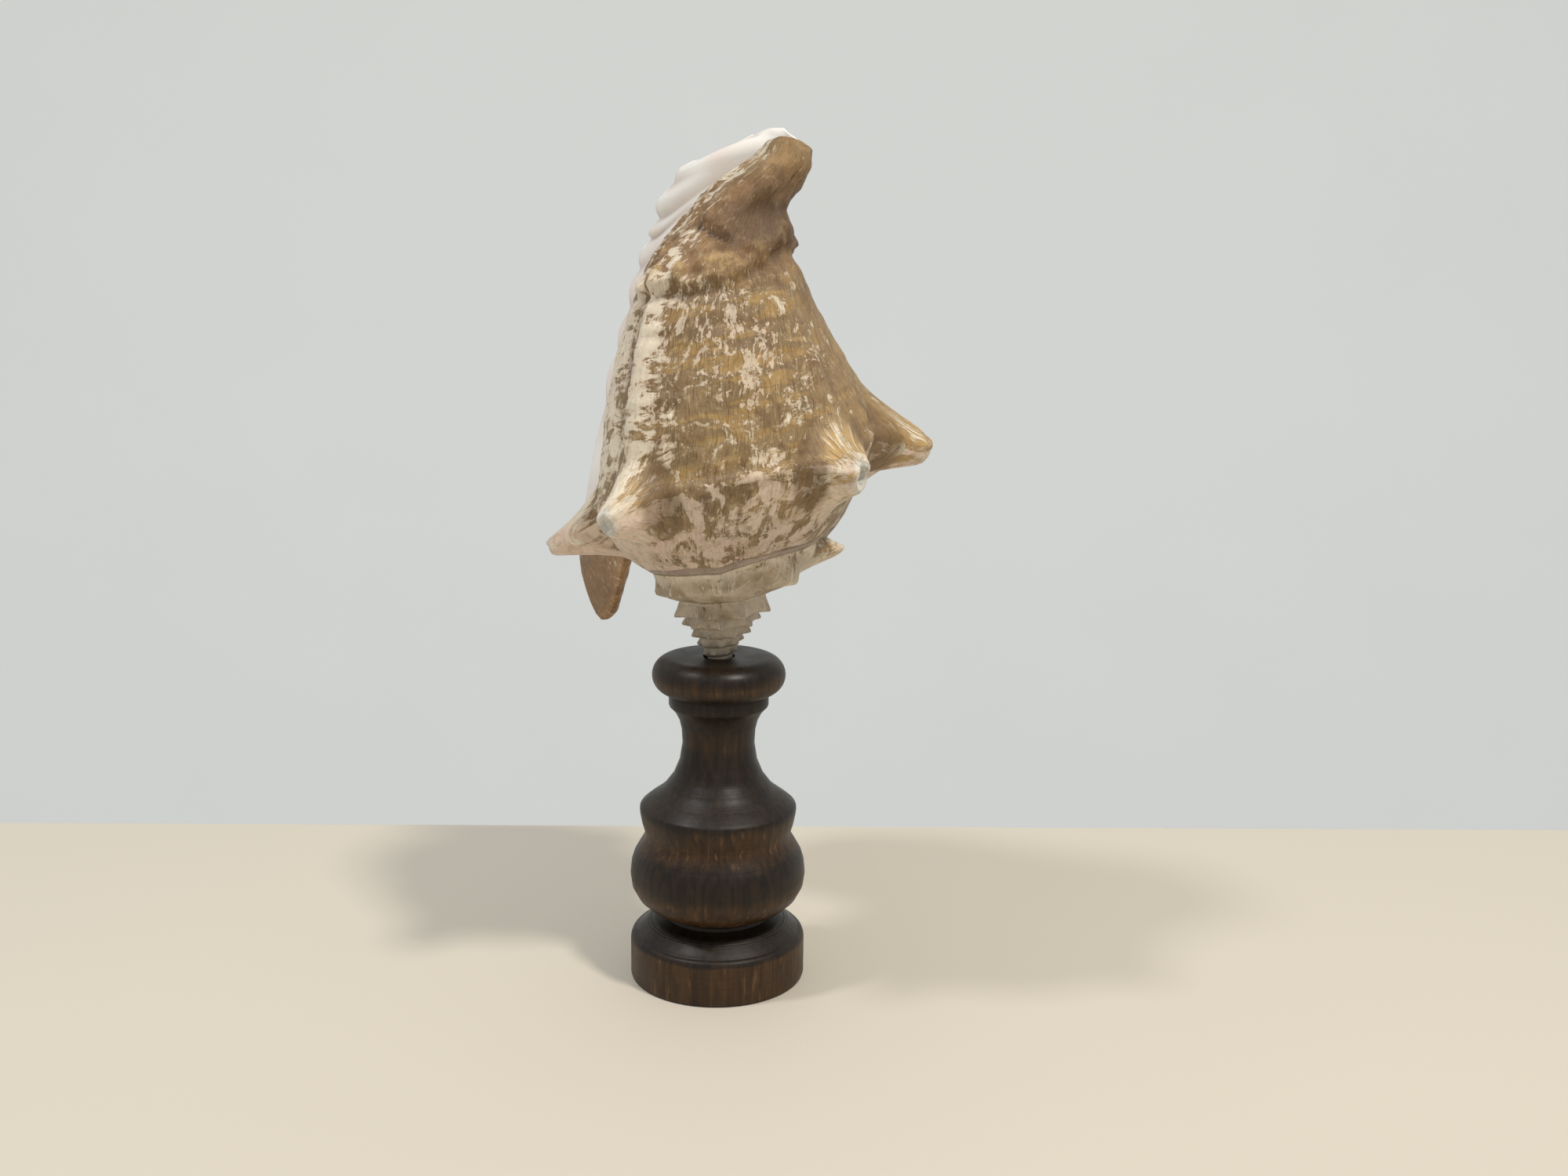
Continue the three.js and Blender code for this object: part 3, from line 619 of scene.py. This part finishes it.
def outward_of(angle, s):
    """Directions that point out of the surface, from steps along the growth and across it."""
    angle, s = paired(angle, s)
    to = np.minimum(angle + PROBE_TURN, MARGIN)
    around = base_point(to, s) - base_point(to - 2 * PROBE_TURN, s)
    lower = np.clip(s - PROBE_ROW, -1, 1 - 2 * PROBE_ROW)
    start = np.where(s < 0, np.minimum(lower, -2 * PROBE_ROW), np.maximum(lower, 0))
    across = base_point(angle, start + 2 * PROBE_ROW) - base_point(angle, start)
    n = np.cross(around, across)
    return n / np.linalg.norm(n, axis=-1, keepdims=True)


def outer_point(angle, s):
    """Points of the outer surface with their whiteness, relief and wear."""
    angle, s = paired(angle, s)
    p = base_point(angle, s)
    push, tip_white, worn = spine_push(p, angle)
    joined = (s < 0) & (angle - TURN >= APEX) & (angle <= CORNER)
    if joined.any():
        under_angle = angle[joined] - TURN
        under = spine_push(base_point(under_angle, 0.0), under_angle)[0]
        push[joined] += under * (s[joined] ** 2)[:, None]
    # no relief where whorls meet, nor under a later whorl
    join = np.where((s < JOIN_ROWS - 1) & (angle <= CORNER), (s + 1) / JOIN_ROWS, 1.0)
    covered = np.where((angle < INNER_LIP) & (s >= -COVER_ROWS), np.clip(-s / COVER_ROWS, 0, 1), 1.0)
    depth = relief(angle, s, p) * join * covered
    return p + push + outward_of(angle, s) * depth[..., None], tip_white, depth, worn


def inner_point(angle, s):
    return base_point(angle, s) - outward_of(angle, s) * wall_thickness(angle, s)[..., None]


def keep_inside(points):
    """Presses points that would leave the CAD's box softly back into it. In metres."""
    low, high = (np.array(corner) for corner in cad_box)
    room = SOFT_EDGE * MM
    over = np.maximum(points - (high - room), 0)
    points = points - over + room * np.tanh(over / room)
    under = np.maximum(low + room - points, 0)
    return points + under - room * np.tanh(under / room)


def make_mesh(name, points, faces, values):
    """A smooth mesh in Blender with a value of each name on every point."""
    mesh = bpy.data.meshes.new(name)
    mesh.from_pydata(points, [], faces)
    for key, store in values.items():
        mesh.attributes.new(key, "FLOAT", "POINT").data.foreach_set("value", store)
    mesh.polygons.foreach_set("use_smooth", [True] * len(mesh.polygons))
    return mesh


class Surface:
    """Points in mm with their values for the shader, and the faces between them."""

    VALUES = ("growth", "row", "glaze", "white", "relief", "cavity", "worn")

    def __init__(self):
        self.points = np.zeros((0, 3))
        self.values = np.zeros((0, len(self.VALUES)))
        self.faces = []

    def add(self, p, *values):
        """Adds points with values for the first of the names, and gives their numbers."""
        shape = p.shape[:-1]
        first = len(self.points)
        self.points = np.concatenate([self.points, p.reshape(-1, 3)])
        values += (0.0,) * (len(self.VALUES) - len(values))
        rows = np.stack([np.broadcast_to(value, shape).reshape(-1) for value in values], -1)
        self.values = np.concatenate([self.values, rows])
        return np.arange(first, len(self.points)).reshape(shape)

    def add_outside(self, angles, rows, glaze):
        """Adds a grid of points of the outer surface."""
        around, across = angles[:, None], rows[None, :]
        p, white, depth, worn = outer_point(around, across)
        return self.add(p, around, across, glaze, white, depth, cavity_of(p, CAVITY_REACH), worn)

    def sheet(self, lines):
        """Faces between lines of points that follow one another in growth."""
        a, b = np.asarray(lines[:-1]), np.asarray(lines[1:])
        quads = np.stack([a[:, :-1], b[:, :-1], b[:, 1:], a[:, 1:]], -1)
        self.faces += quads.reshape(-1, 4).tolist()

    def rim(self, a, b, before, angle, s, glaze):
        """Adds lines of points around the rounded rim of two edges, away from the points before."""
        a, b = self.points[a], self.points[b]
        middle = (a + b) / 2
        outward = middle - before
        outward /= np.linalg.norm(outward, axis=-1, keepdims=True)
        bulge = outward * np.linalg.norm(a - b, axis=-1, keepdims=True) * RIM_ROUNDING
        lines = []
        for k, turn in enumerate(map(math.radians, RIM_TURNS)):
            q = middle + (a - b) / 2 * math.cos(turn) + bulge * math.sin(turn)
            lines.append(self.add(q, angle, s, glaze + RIM_GLAZE_STEP * k))
        return lines

    def edge(self, outer, inner, before, angles, ends, row, glaze):
        """Lines of the rounded rim along one row, from the inner edge's start to the given ends."""
        middles = self.rim(outer[1:-1], inner[1:-1], self.points[before[1:-1]], angles[1:-1], row, glaze)
        return [outer, *(np.array([inner[0], *mid, end]) for mid, end in zip(middles, ends)), inner]

    def bridge(self, a, b):
        """Triangles between two lines that start at one point and differ in length."""
        steps = [(t, line) for line, ids in enumerate((b, a)) for t in np.linspace(0, 1, len(ids))[1:]]
        j = k = 0
        for _, on_a in sorted(steps):
            self.faces.append((a[j], b[k], a[j + 1] if on_a else b[k + 1]))
            j, k = j + on_a, k + 1 - on_a

    def mesh(self, name):
        """The mesh of all faces, without points that no face uses."""
        faces = [list(dict.fromkeys(face)) for face in self.faces]
        faces = [face for face in faces if len(face) >= 3]
        used = sorted({point for face in faces for point in face})
        number = {point: k for k, point in enumerate(used)}
        points = keep_inside(self.points[used] * MM)
        values = self.values[used].astype(np.float32)
        columns = {key: np.ascontiguousarray(values[:, k]) for k, key in enumerate(self.VALUES)}
        faces = [[number[point] for point in face] for face in faces]
        return make_mesh(name, points.tolist(), faces, columns)


def build_shell():
    """The whole shell as one closed mesh."""
    per_turn = int(TURN / STEP)
    count = int(round((MARGIN - APEX) / STEP))
    angles = APEX + STEP * np.arange(count + 1)
    marks = (DEEP_END - TURN, INNER_LIP, CORNER, DEEP_END)
    body_from, lip, corner, deep = (int(round((mark - APEX) / STEP)) for mark in marks)
    shell = Surface()

    # outside: the ramp of each whorl starts on the covered line of the whorl before
    spill = window(angles, *SPILL)[:, None] * (1 - ease(RAMP_ROWS, *SPILL_ROWS))[None, :]
    ramp = shell.add_outside(angles, RAMP_ROWS, spill)
    for n in range(per_turn, corner + 1):
        ramp[n, 0] = ramp[n - per_turn, -1]
    wall = np.full((count + 1, len(BODY_ROWS)), -1)
    glaze = 1 - ease(angles[body_from:], *LIP_GLAZE)
    wall[body_from:] = shell.add_outside(angles[body_from:], BODY_ROWS, glaze[:, None])

    # inside of the hollow; the furrows between the wing's lobes are kept as relief values for painted shade
    rows = np.concatenate([RAMP_ROWS[1:], BODY_ROWS])
    around = angles[deep:, None]
    dull = ease(around, *HIND_DULL) * (1 - ease(rows, *HIND_DULL_ROWS))
    furrow = -FURROW_DEPTH * (1 - wing_lobes(rows)) * ease(around, FURROW_START, MARGIN)
    inside = np.full((count + 1, len(rows) + 1), -1)
    inside[deep:, 1:] = shell.add(inner_point(around, rows), around, rows, 1 - dull, 0.0, furrow)
    free = angles[corner + 1:]
    inside[corner + 1:, 0] = shell.add(inner_point(free, -1.0), free, -1.0, 0.0)
    for n in range(deep, corner + 1):
        inside[n, 0] = wall[n - per_turn, 0]

    shell.sheet(ramp)
    shell.sheet(wall[body_from:lip + 1])
    shell.sheet(np.concatenate([ramp[lip:, -1:], wall[lip:]], 1))
    shell.sheet(inside[deep:][::-1])

    # rounded rims: the wing's margin, then the hind edge and the canal's edge, which end on it
    outer_margin = np.concatenate([ramp[count], wall[count]])
    rows = np.concatenate([RAMP_ROWS, BODY_ROWS])
    before = base_point(MARGIN - MARGIN_PROBE, rows)
    margin = shell.rim(outer_margin, inside[count], before, MARGIN, rows, MARGIN_GLAZE)
    shell.sheet([outer_margin, *margin, inside[count]])
    ends = [line[0] for line in margin]
    outer, inner, before = ramp[corner:, 0], inside[corner:, 0], ramp[corner:, 1]
    shell.sheet(shell.edge(outer, inner, before, angles[corner:], ends, -1.0, HIND_GLAZE))
    ends = [line[-1] for line in margin]
    outer, inner, before = wall[deep:, -1], inside[deep:, -1], wall[deep:, -2]
    shell.sheet(shell.edge(outer, inner, before, angles[deep:], ends, 1.0, CANAL_GLAZE)[::-1])

    # deep end of the hollow: both lines run from the same point up to the canal
    shell.bridge(inside[deep], wall[body_from])
    ring = [*wall[body_from:deep + 1, -1], inside[deep, -1]]
    middle = shell.add(shell.points[ring].mean(0)[None, :], DEEP_END, 1.0, 1.0)[0]
    shell.faces += [(a, b, middle) for a, b in zip(ring, ring[1:] + ring[:1])]
    # tip of the spire
    tip = shell.add(np.array([[0.0, 0.0, TIP_END]]), APEX, -1.0, 0.0)[0]
    shell.faces += [(ramp[n + 1, 0], ramp[n, 0], tip) for n in range(per_turn)]
    shell.faces += [(ramp[0, k], ramp[0, k + 1], tip) for k in range(len(RAMP_ROWS) - 1)]
    return shell.mesh("shell")


def build_stand():
    """The turned stand, its outline swept around the axis."""
    rows = list(STAND_OUTLINE)
    for k in range(1, LIP_STEPS + 1):
        turn = math.radians(LIP_START + LIP_SWEEP * k / LIP_STEPS)
        worn = LIP_WORN * max(0.0, 1 - abs(k - LIP_WORN_AT) / LIP_WORN_REACH)
        z = STAND_TOP - LIP_RADIUS + LIP_RADIUS * math.sin(turn)
        rows.append((LIP_CENTRE_RADIUS + LIP_RADIUS * math.cos(turn), z, worn))
    rows += STAND_HOLE
    fine = [rows[0]]
    for a, b in zip(rows, rows[1:]):
        steps = max(1, int(math.hypot(b[0] - a[0], b[1] - a[1]) / STAND_STEP))
        fine += [tuple(lerp(p, q, k / steps) for p, q in zip(a, b)) for k in range(1, steps + 1)]
    points, faces, worn, rings = [], [], [], []
    for r, z, w in fine:
        size = STAND_SIDES if r > 0 else 1
        rings.append((len(points), size))
        for k in range(size):
            t = 2 * math.pi * k / STAND_SIDES
            points.append((r * math.cos(t) * MM, r * math.sin(t) * MM, z * MM))
            worn.append(w)
    for (a, na), (b, nb) in zip(rings, rings[1:]):
        for k in range(STAND_SIDES):
            quad = (a + k % na, a + (k + 1) % na, b + (k + 1) % nb, b + k % nb)
            faces.append(list(dict.fromkeys(quad)))
    mesh = make_mesh("stand_fine", points, faces, {"worn": worn})
    mesh.set_sharp_from_angle(angle=math.radians(SHARP_DEGREES))
    return mesh


class Nodes:
    """Short ways to make shader nodes."""

    def __init__(self, name):
        self.material = bpy.data.materials.new(name)
        self.material.use_nodes = True
        self.tree = self.material.node_tree
        self.tree.nodes.clear()
        self.output = self.tree.nodes.new("ShaderNodeOutputMaterial")

    def put(self, kind, inputs=None, **settings):
        node = self.tree.nodes.new(kind)
        for key, value in settings.items():
            setattr(node, key, value)
        for key, value in (inputs or {}).items():
            self.set(node.inputs[key], value)
        return node

    def set(self, socket, value):
        if isinstance(value, bpy.types.NodeSocket):
            self.tree.links.new(value, socket)
        elif socket.type == "RGBA" and len(value) == 3:
            socket.default_value = (*value, 1)
        else:
            socket.default_value = value

    def math(self, operation, a, b=0, c=0):
        return self.put("ShaderNodeMath", {0: a, 1: b, 2: c}, operation=operation).outputs[0]

    def times(self, first, *factors):
        for factor in factors:
            first = self.math("MULTIPLY", first, factor)
        return first

    def total(self, first, *terms):
        """Sum of a value and of pairs of value and weight."""
        for value, weight in terms:
            first = self.math("MULTIPLY_ADD", value, weight, first)
        return first

    def other(self, value):
        return self.math("SUBTRACT", 1, value)

    def place(self):
        return self.put("ShaderNodeTexCoord").outputs["Object"]

    def attribute(self, name):
        return self.put("ShaderNodeAttribute", attribute_name=name).outputs["Fac"]

    def combine(self, x, y, z):
        return self.put("ShaderNodeCombineXYZ", {0: x, 1: y, 2: z}).outputs[0]

    def noise(self, vector, scale, detail=3, roughness=0.55, distortion=0):
        inputs = {"Vector": vector, "Scale": scale, "Detail": detail, "Roughness": roughness}
        return self.put("ShaderNodeTexNoise", {**inputs, "Distortion": distortion}).outputs["Fac"]

    def ramp(self, value, low, high, start=0, end=1):
        """Goes smoothly from start to end while the value goes from low to high."""
        inputs = {0: value, 1: low, 2: high, 3: start, 4: end}
        return self.put("ShaderNodeMapRange", inputs, interpolation_type="SMOOTHSTEP").outputs[0]

    def window(self, value, rise, fall):
        """1 between two smooth flanks, 0 outside them."""
        return self.times(self.ramp(value, *rise), self.other(self.ramp(value, *fall)))

    def mix(self, factor, a, b):
        return self.put("ShaderNodeMix", {0: factor, 6: a, 7: b}, data_type="RGBA").outputs[2]

    def layers(self, color, *rows):
        """Lays named colours over a colour, each with its share and the masks that bound it."""
        for name, share, *masks in rows:
            color = self.mix(self.times(*masks, share), color, linear(name))
        return color

    def bump(self, height, strength, distance):
        inputs = {"Height": height, "Strength": strength, "Distance": distance}
        return self.put("ShaderNodeBump", inputs).outputs[0]

    def finish(self, inputs):
        shader = self.put("ShaderNodeBsdfPrincipled", inputs).outputs[0]
        self.tree.links.new(shader, self.output.inputs["Surface"])
        return self.material


def linear(name):
    """A named colour as light."""
    shares = [c / 255 for c in COLORS[name]]
    return tuple(c / 12.92 if c <= 0.04045 else ((c + 0.055) / 1.055) ** 2.4 for c in shares)


def shell_masks(n):
    """Noises and zones of the shell, most of them from 0 to 1, by name."""
    k = SimpleNamespace(**{name: n.attribute(name) for name in Surface.VALUES})
    place = n.place()
    k.height = n.put("ShaderNodeSeparateXYZ", {0: place}).outputs[2]
    # centimetres along the growth direction and across the whorl
    k.wobble = n.times(n.math("SUBTRACT", n.noise(place, 30, 2), 0.5), WOBBLE_CM)
    along = n.math("ADD", n.times(k.growth, GROWTH_CM), k.wobble)
    on_ramp = n.times(n.math("MINIMUM", k.row, 0), RAMP_CM)
    across = n.math("MULTIPLY_ADD", n.math("MAXIMUM", k.row, 0), BODY_CM, on_ramp)
    across = n.math("ADD", across, n.times(k.wobble, 0.8))
    for name, settings in NOISES.items():
        setattr(k, name, n.noise(place, *settings))
    for name, ((x, y, shift), settings) in FLOWING_NOISES.items():
        setattr(k, name, n.noise(n.combine(n.times(along, x), n.times(across, y), shift), *settings))
    k.marks = n.ramp(n.noise(place, 60, 1), 0.6, 0.66)
    cells = n.put("ShaderNodeTexVoronoi", {"Vector": place, "Scale": 190.0}, feature="F1")
    k.ring = n.window(cells.outputs["Distance"], (0.1, 0.2), (0.3, 0.42))

    k.wing = n.ramp(k.growth, 80, 125)
    k.body = n.math("MAXIMUM", n.ramp(k.row, -0.16, 0.06), k.wing)
    k.off_body, k.off_wing = n.other(k.body), n.other(k.wing)
    k.left = n.other(n.ramp(k.growth, -134, -112))
    k.right = n.ramp(k.growth, -60, -15)
    k.neck = n.ramp(k.row, 0.5, 0.66)
    k.off_neck = n.other(k.neck)
    k.old = n.other(n.ramp(k.growth, -420, -330))
    # how sunk the surface is: the skin holds better there, and it drives painted shade in the hollows
    k.sunk = n.ramp(k.cavity, -0.1, 2.6)
    k.crest = n.times(n.ramp(n.times(k.cavity, -1), 1.3, 3.5), k.off_neck)
    # how low the relief is, for painted shade in low places and in the wing's furrows
    k.low = n.times(k.relief, -1)
    return k


def bare_shell(n, k):
    """The body's cream, and the whole shell under the skin, pinkish on the ramp and grey on the spire."""
    cream = n.layers(
        linear("cream"), ("deep_cream", 1, n.ramp(k.blobs, 0.35, 0.65)),
        ("rosy_cream", 0.55, n.ramp(k.clouds, 0.42, 0.6)))
    pink = n.layers(
        linear("pale_pink"), ("pink", 1, n.ramp(k.clouds, 0.4, 0.62)),
        ("pink_grit", 0.45, n.ramp(k.grit, 0.45, 0.62)), ("pink_thread", 0.5, n.ramp(k.threads, 0.48, 0.66)))
    grey = n.layers(linear("grey"), ("deep_grey", 1, n.ramp(k.blobs, 0.4, 0.6)))
    return cream, n.mix(k.body, n.mix(k.old, pink, grey), cream)


def brown_skin(n, k):
    """Golden bands on tan, greyer on the left, redder at the neck, paler on the spines."""
    return n.layers(
        linear("tan"),
        ("deep_tan", 1, n.ramp(k.clouds, 0.38, 0.62)),
        ("left_tan", 0.7, k.left),
        ("golden", 0.75, n.ramp(k.bands, 0.48, 0.6), n.other(k.left)),
        ("right_tan", 0.5, k.right),
        ("neck_tan", 0.75, k.neck),
        ("ramp_tan", 0.6, k.off_body),
        ("spine_tan", 0.85, n.ramp(k.worn, 0.08, 0.45)),
        ("knob_tan", 0.6, n.ramp(k.height, 0.384, 0.394)),
        ("wing_tan", 0.7, k.wing),
        ("brown_blot", 0.6, n.ramp(k.blobs, 0.5, 0.66)),
        ("pale_speck", 0.6, n.ramp(k.speck, 0.52, 0.68)),
        ("neck_grit", 0.5, n.ramp(k.grit, 0.5, 0.62), k.neck),
        ("pale_thread", 0.5, n.ramp(k.threads, 0.52, 0.68), k.off_neck, k.off_wing, n.other(k.worn)),
        ("dark_hair", 0.5, n.ramp(k.hair, 0.5, 0.66)))


def skin_hold(n, k):
    """How firmly the skin holds: it is whole above 0 and worn off below."""
    cover = n.total(
        n.times(k.patches, 0.74), (k.blobs, 0.34), (k.streaks, 0.17), (k.hair, 0.07), (k.speck, 0.07),
        (k.left, 0.07), (k.right, 0.045), (k.neck, 0.075), (k.sunk, 0.05), (k.worn, -0.03), (k.crest, -0.045),
        (n.ramp(k.relief, 0.1, 1.4), -0.03))
    cover = n.math("SUBTRACT", cover, n.times(k.bars, n.total(0.12, (k.left, 0.34))))
    # the bare ramp reaches over the shoulder between the two big spines
    from_hump = n.math("ABSOLUTE", n.math("SUBTRACT", k.growth, HUMP_ANGLE))
    hump = n.other(n.ramp(from_hump, 10, 30))
    bare_to = n.total(k.row, (hump, -0.15), (n.times(k.wobble, hump), 0.05))
    need = n.ramp(bare_to, -0.3, 0.06, NEED_ON_RAMP, NEED_ON_BODY)
    # pale bars across the rib over the second spine and the band to its left
    from_rib = n.total(
        n.math("SUBTRACT", k.growth, SECOND_SPINE + 1), (k.row, FOLD_LEAN),
        (n.other(n.ramp(k.row, 0.1, 0.5)), -9))
    on_rib = n.other(n.ramp(n.math("ABSOLUTE", from_rib), 5, 12))
    rib = n.times(on_rib, n.window(k.row, (0, 0.1), (0.62, 0.78)))
    band = n.times(n.other(n.ramp(k.growth, -160, -146)), n.ramp(k.row, 0.02, 0.1))
    steps = n.ramp(k.bars, 0.44, 0.58)
    need = n.total(
        need, (k.wing, -0.1), (k.old, 0.06), (n.times(rib, steps), 0.11), (rib, 0.02),
        (n.times(band, steps), 0.08), (band, 0.02))
    return n.math("SUBTRACT", cover, need)


def shell_material():
    n = Nodes("conch")
    k = shell_masks(n)
    cream, bare = bare_shell(n, k)
    hold = skin_hold(n, k)
    skin = n.ramp(hold, -0.01, 0.02)
    # a thin film reaches past the full skin
    film = n.times(n.ramp(hold, -0.075, -0.005), n.ramp(k.grit, 0.3, 0.6))
    color = n.mix(skin, n.layers(bare, ("film", 0.6, film)), brown_skin(n, k))
    # flakes where the skin has come off in small pieces, whitest where it is freshly chipped
    loss = n.total(k.flakes, (k.clouds, 0.65), (k.neck, -0.05), (k.right, -0.035), (k.off_body, -0.01))
    flake = n.layers(cream, ("flake", 0.4))
    color = n.mix(n.times(n.ramp(loss, 0.945, 0.965), 0.85), color, flake)
    chips = n.times(n.ramp(n.times(hold, -1), 0.04, 0.07), k.body)
    # pale lines of growth across the spines, and a golden painted highlight on the crest of the neck's ledge
    lines = n.times(n.window(k.streaks, (0.56, 0.6), (0.62, 0.67)), n.ramp(k.worn, 0.08, 0.3))
    ledge = n.times(n.ramp(k.relief, 1.6, 3.8), k.neck, k.off_wing, n.ramp(k.grit, 0.38, 0.6))
    color = n.layers(
        color, ("chip", 0.75, chips), ("growth_line", 0.9, lines),
        ("ring", 0.45, k.ring, k.marks, k.off_body), ("ledge", 0.75, ledge))
    # growth lines and specks, painted shade on the ramp toward the suture, painted shade in the low places
    # and hollows, and under the neck's ledge
    shaded_ramp = n.times(n.other(n.ramp(k.row, -0.8, -0.3)), k.off_wing)
    shade_share = n.total(0.6, (k.left, -0.35))
    under_ledge = n.times(n.window(k.height, (0.346, 0.362), (0.37, 0.388)), k.off_wing)
    color = n.layers(
        color, ("black", 0.2, n.ramp(k.hair, 0.46, 0.72)), ("black", 0.3, n.ramp(k.speck, 0.42, 0.3)),
        ("black", 0.2, n.ramp(k.grit, 0.44, 0.3)), ("black", 0.14, shaded_ramp),
        ("dirt", shade_share, n.ramp(k.low, 0.3, 2.4)), ("hollow_dirt", shade_share, k.sunk),
        ("neck_shade", 0.72, under_ledge, n.ramp(k.growth, -130, -80)))
    broken = n.layers(linear("broken"), ("grey_broken", 1, n.ramp(k.grit, 0.4, 0.6)))
    color = n.mix(k.white, color, broken)
    # the glazed inside, with painted shade in the furrows between the wing's lobes
    inside = n.layers(
        linear("glaze"), ("rosy_glaze", 1, n.ramp(k.clouds, 0.4, 0.66)),
        ("glaze_furrow", 0.55, n.ramp(k.low, 0.2, 2.2)))
    ragged = n.times(n.math("SUBTRACT", k.blobs, 0.5), 0.5)
    glazed = n.ramp(n.math("ADD", k.glaze, ragged), 0.6, 0.74)

    height = n.total(
        n.times(k.streaks, 0.5), (k.hair, 0.5), (k.blobs, 0.5), (k.grit, 0.3), (skin, 0.16), (k.speck, 0.12))
    height = n.times(height, n.other(n.times(glazed, 0.94)))
    dry = n.mix(skin, (BARE_ROUGHNESS,) * 3, (SKIN_ROUGHNESS,) * 3)
    return n.finish({
        "Base Color": n.mix(glazed, color, inside),
        "Roughness": n.mix(glazed, dry, (GLAZE_ROUGHNESS,) * 3),
        "Normal": n.bump(height, 0.95, 0.0012),
        "Specular IOR Level": 0.45,
    })


def wood_material():
    n = Nodes("dark_wood")
    place = n.place()
    x, y, z = n.put("ShaderNodeSeparateXYZ", {0: place}).outputs

    def stretched(sideways, upward, *settings):
        """Noise with its own scale across the turning axis and along it."""
        return n.noise(n.combine(n.times(x, sideways), n.times(y, sideways), n.times(z, upward)), *settings)

    grain = stretched(60, 5, 6, 4, 0.6, 0.5)
    fleck = stretched(420, 60, 1, 2, 0.5)
    turning = stretched(0, 900, 1, 3, 0.6)
    cloud = n.noise(place, 38, 4, 0.6)
    ragged = n.times(n.math("SUBTRACT", cloud, 0.5), 1.1)
    worn = n.ramp(n.math("ADD", n.attribute("worn"), ragged), 0.35, 0.85)
    dark = n.layers(linear("varnish"), ("varnish_grain", 1, n.ramp(grain, 0.35, 0.65)))
    brown = n.layers(
        linear("wood"), ("wood_grain", 1, n.ramp(grain, 0.3, 0.7)),
        ("fleck", 1, n.ramp(fleck, 0.58, 0.72)))
    height = n.math("ADD", n.times(grain, 0.3), n.times(turning, 0.4))
    rough = n.mix(n.ramp(cloud, 0.3, 0.7), (SMOOTH_VARNISH,) * 3, (DULL_VARNISH,) * 3)
    return n.finish({
        "Base Color": n.layers(n.mix(worn, dark, brown), ("black", 0.25, n.ramp(turning, 0.45, 0.7))),
        "Roughness": rough,
        "Normal": n.bump(height, 0.35, 0.0006),
        "Specular IOR Level": 0.28,
    })


def plain_material(name, color, roughness, glow):
    """Almost even colour that can also give light of its own."""
    n = Nodes(name)
    tint = n.mix(n.noise(n.place(), 3, 2), color, tuple(c * 0.97 for c in color))
    inputs = {"Base Color": tint, "Roughness": roughness}
    if glow:
        inputs.update({"Emission Color": tint, "Emission Strength": glow})
    return n.finish(inputs)


def add_object(name, mesh, material):
    piece = bpy.data.objects.new(name, mesh)
    bpy.context.scene.collection.objects.link(piece)
    piece.data.materials.append(material)
    return piece


def add_piece(name, mesh, material, node):
    piece = add_object(name, mesh, material)
    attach(piece, "root")
    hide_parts(node)


def add_stage(name, corners, roughness, glow=0):
    mesh = bpy.data.meshes.new(name)
    mesh.from_pydata(corners, [], [tuple(range(len(corners)))])
    piece = add_object(name, mesh, plain_material(name, linear(name), roughness, glow))


def add_light(name, place, watts, color):
    data = bpy.data.lights.new(name, "AREA")
    data.shape = "DISK"
    data.size = LAMP_SIZE
    data.energy = watts
    data.color = color
    lamp = bpy.data.objects.new(name, data)
    lamp.location = place
    lamp.rotation_euler = (LAMP_TARGET - Vector(place)).to_track_quat("-Z", "Y").to_euler()
    bpy.context.scene.collection.objects.link(lamp)


def add_world():
    world = bpy.data.worlds.new("soft")
    world.use_nodes = True
    color, strength = world.node_tree.nodes["Background"].inputs[:2]
    color.default_value = (*WORLD_COLOR, 1)
    strength.default_value = WORLD_STRENGTH
    bpy.context.scene.world = world


def add_camera():
    """The camera fitted to the photograph, which looks along +Y."""
    data = bpy.data.cameras.new("camera")
    data.sensor_width = SENSOR_WIDTH
    data.lens = FOCAL_PIXELS * SENSOR_WIDTH / PICTURE_PIXELS
    data.clip_end = 50
    camera = bpy.data.objects.new("camera", data)
    pitch = Matrix.Rotation(math.radians(90 - CAMERA_PITCH), 4, "X")
    roll = Matrix.Rotation(math.radians(CAMERA_ROLL), 4, "Z")
    camera.matrix_world = Matrix.Translation(CAMERA_PLACE) @ pitch @ roll
    bpy.context.scene.collection.objects.link(camera)
    bpy.context.scene.camera = camera


SPINE_LIST = list_spines()
add_piece("shell_fine", build_shell(), shell_material(), "conch_shell")
add_piece("stand_fine", build_stand(), wood_material(), "stand")
left_end, right_end = (TABLE_EDGE + EDGE_SLOPE * x for x in (-TABLE_REACH, TABLE_REACH))
far, wide = TABLE_REACH, WALL_REACH
add_stage("floor", [(-far, -far, 0), (far, -far, 0), (far, right_end, 0), (-far, left_end, 0)], 0.7)
corners = ((-wide, WALL_LOW), (wide, WALL_LOW), (wide, WALL_TOP), (-wide, WALL_TOP))
add_stage("backdrop", [(x, WALL_Y, z) for x, z in corners], 0.9, 1)
add_light("key", (0.8, -0.72, 1.95), 24, (1, 0.94, 0.84))
add_light("fill", (-0.96, -0.35, 1.95), 13, (0.97, 0.98, 1))
add_world()
add_camera()
bpy.context.scene.view_settings.view_transform = "Standard"

bpy.context.view_layer.update()
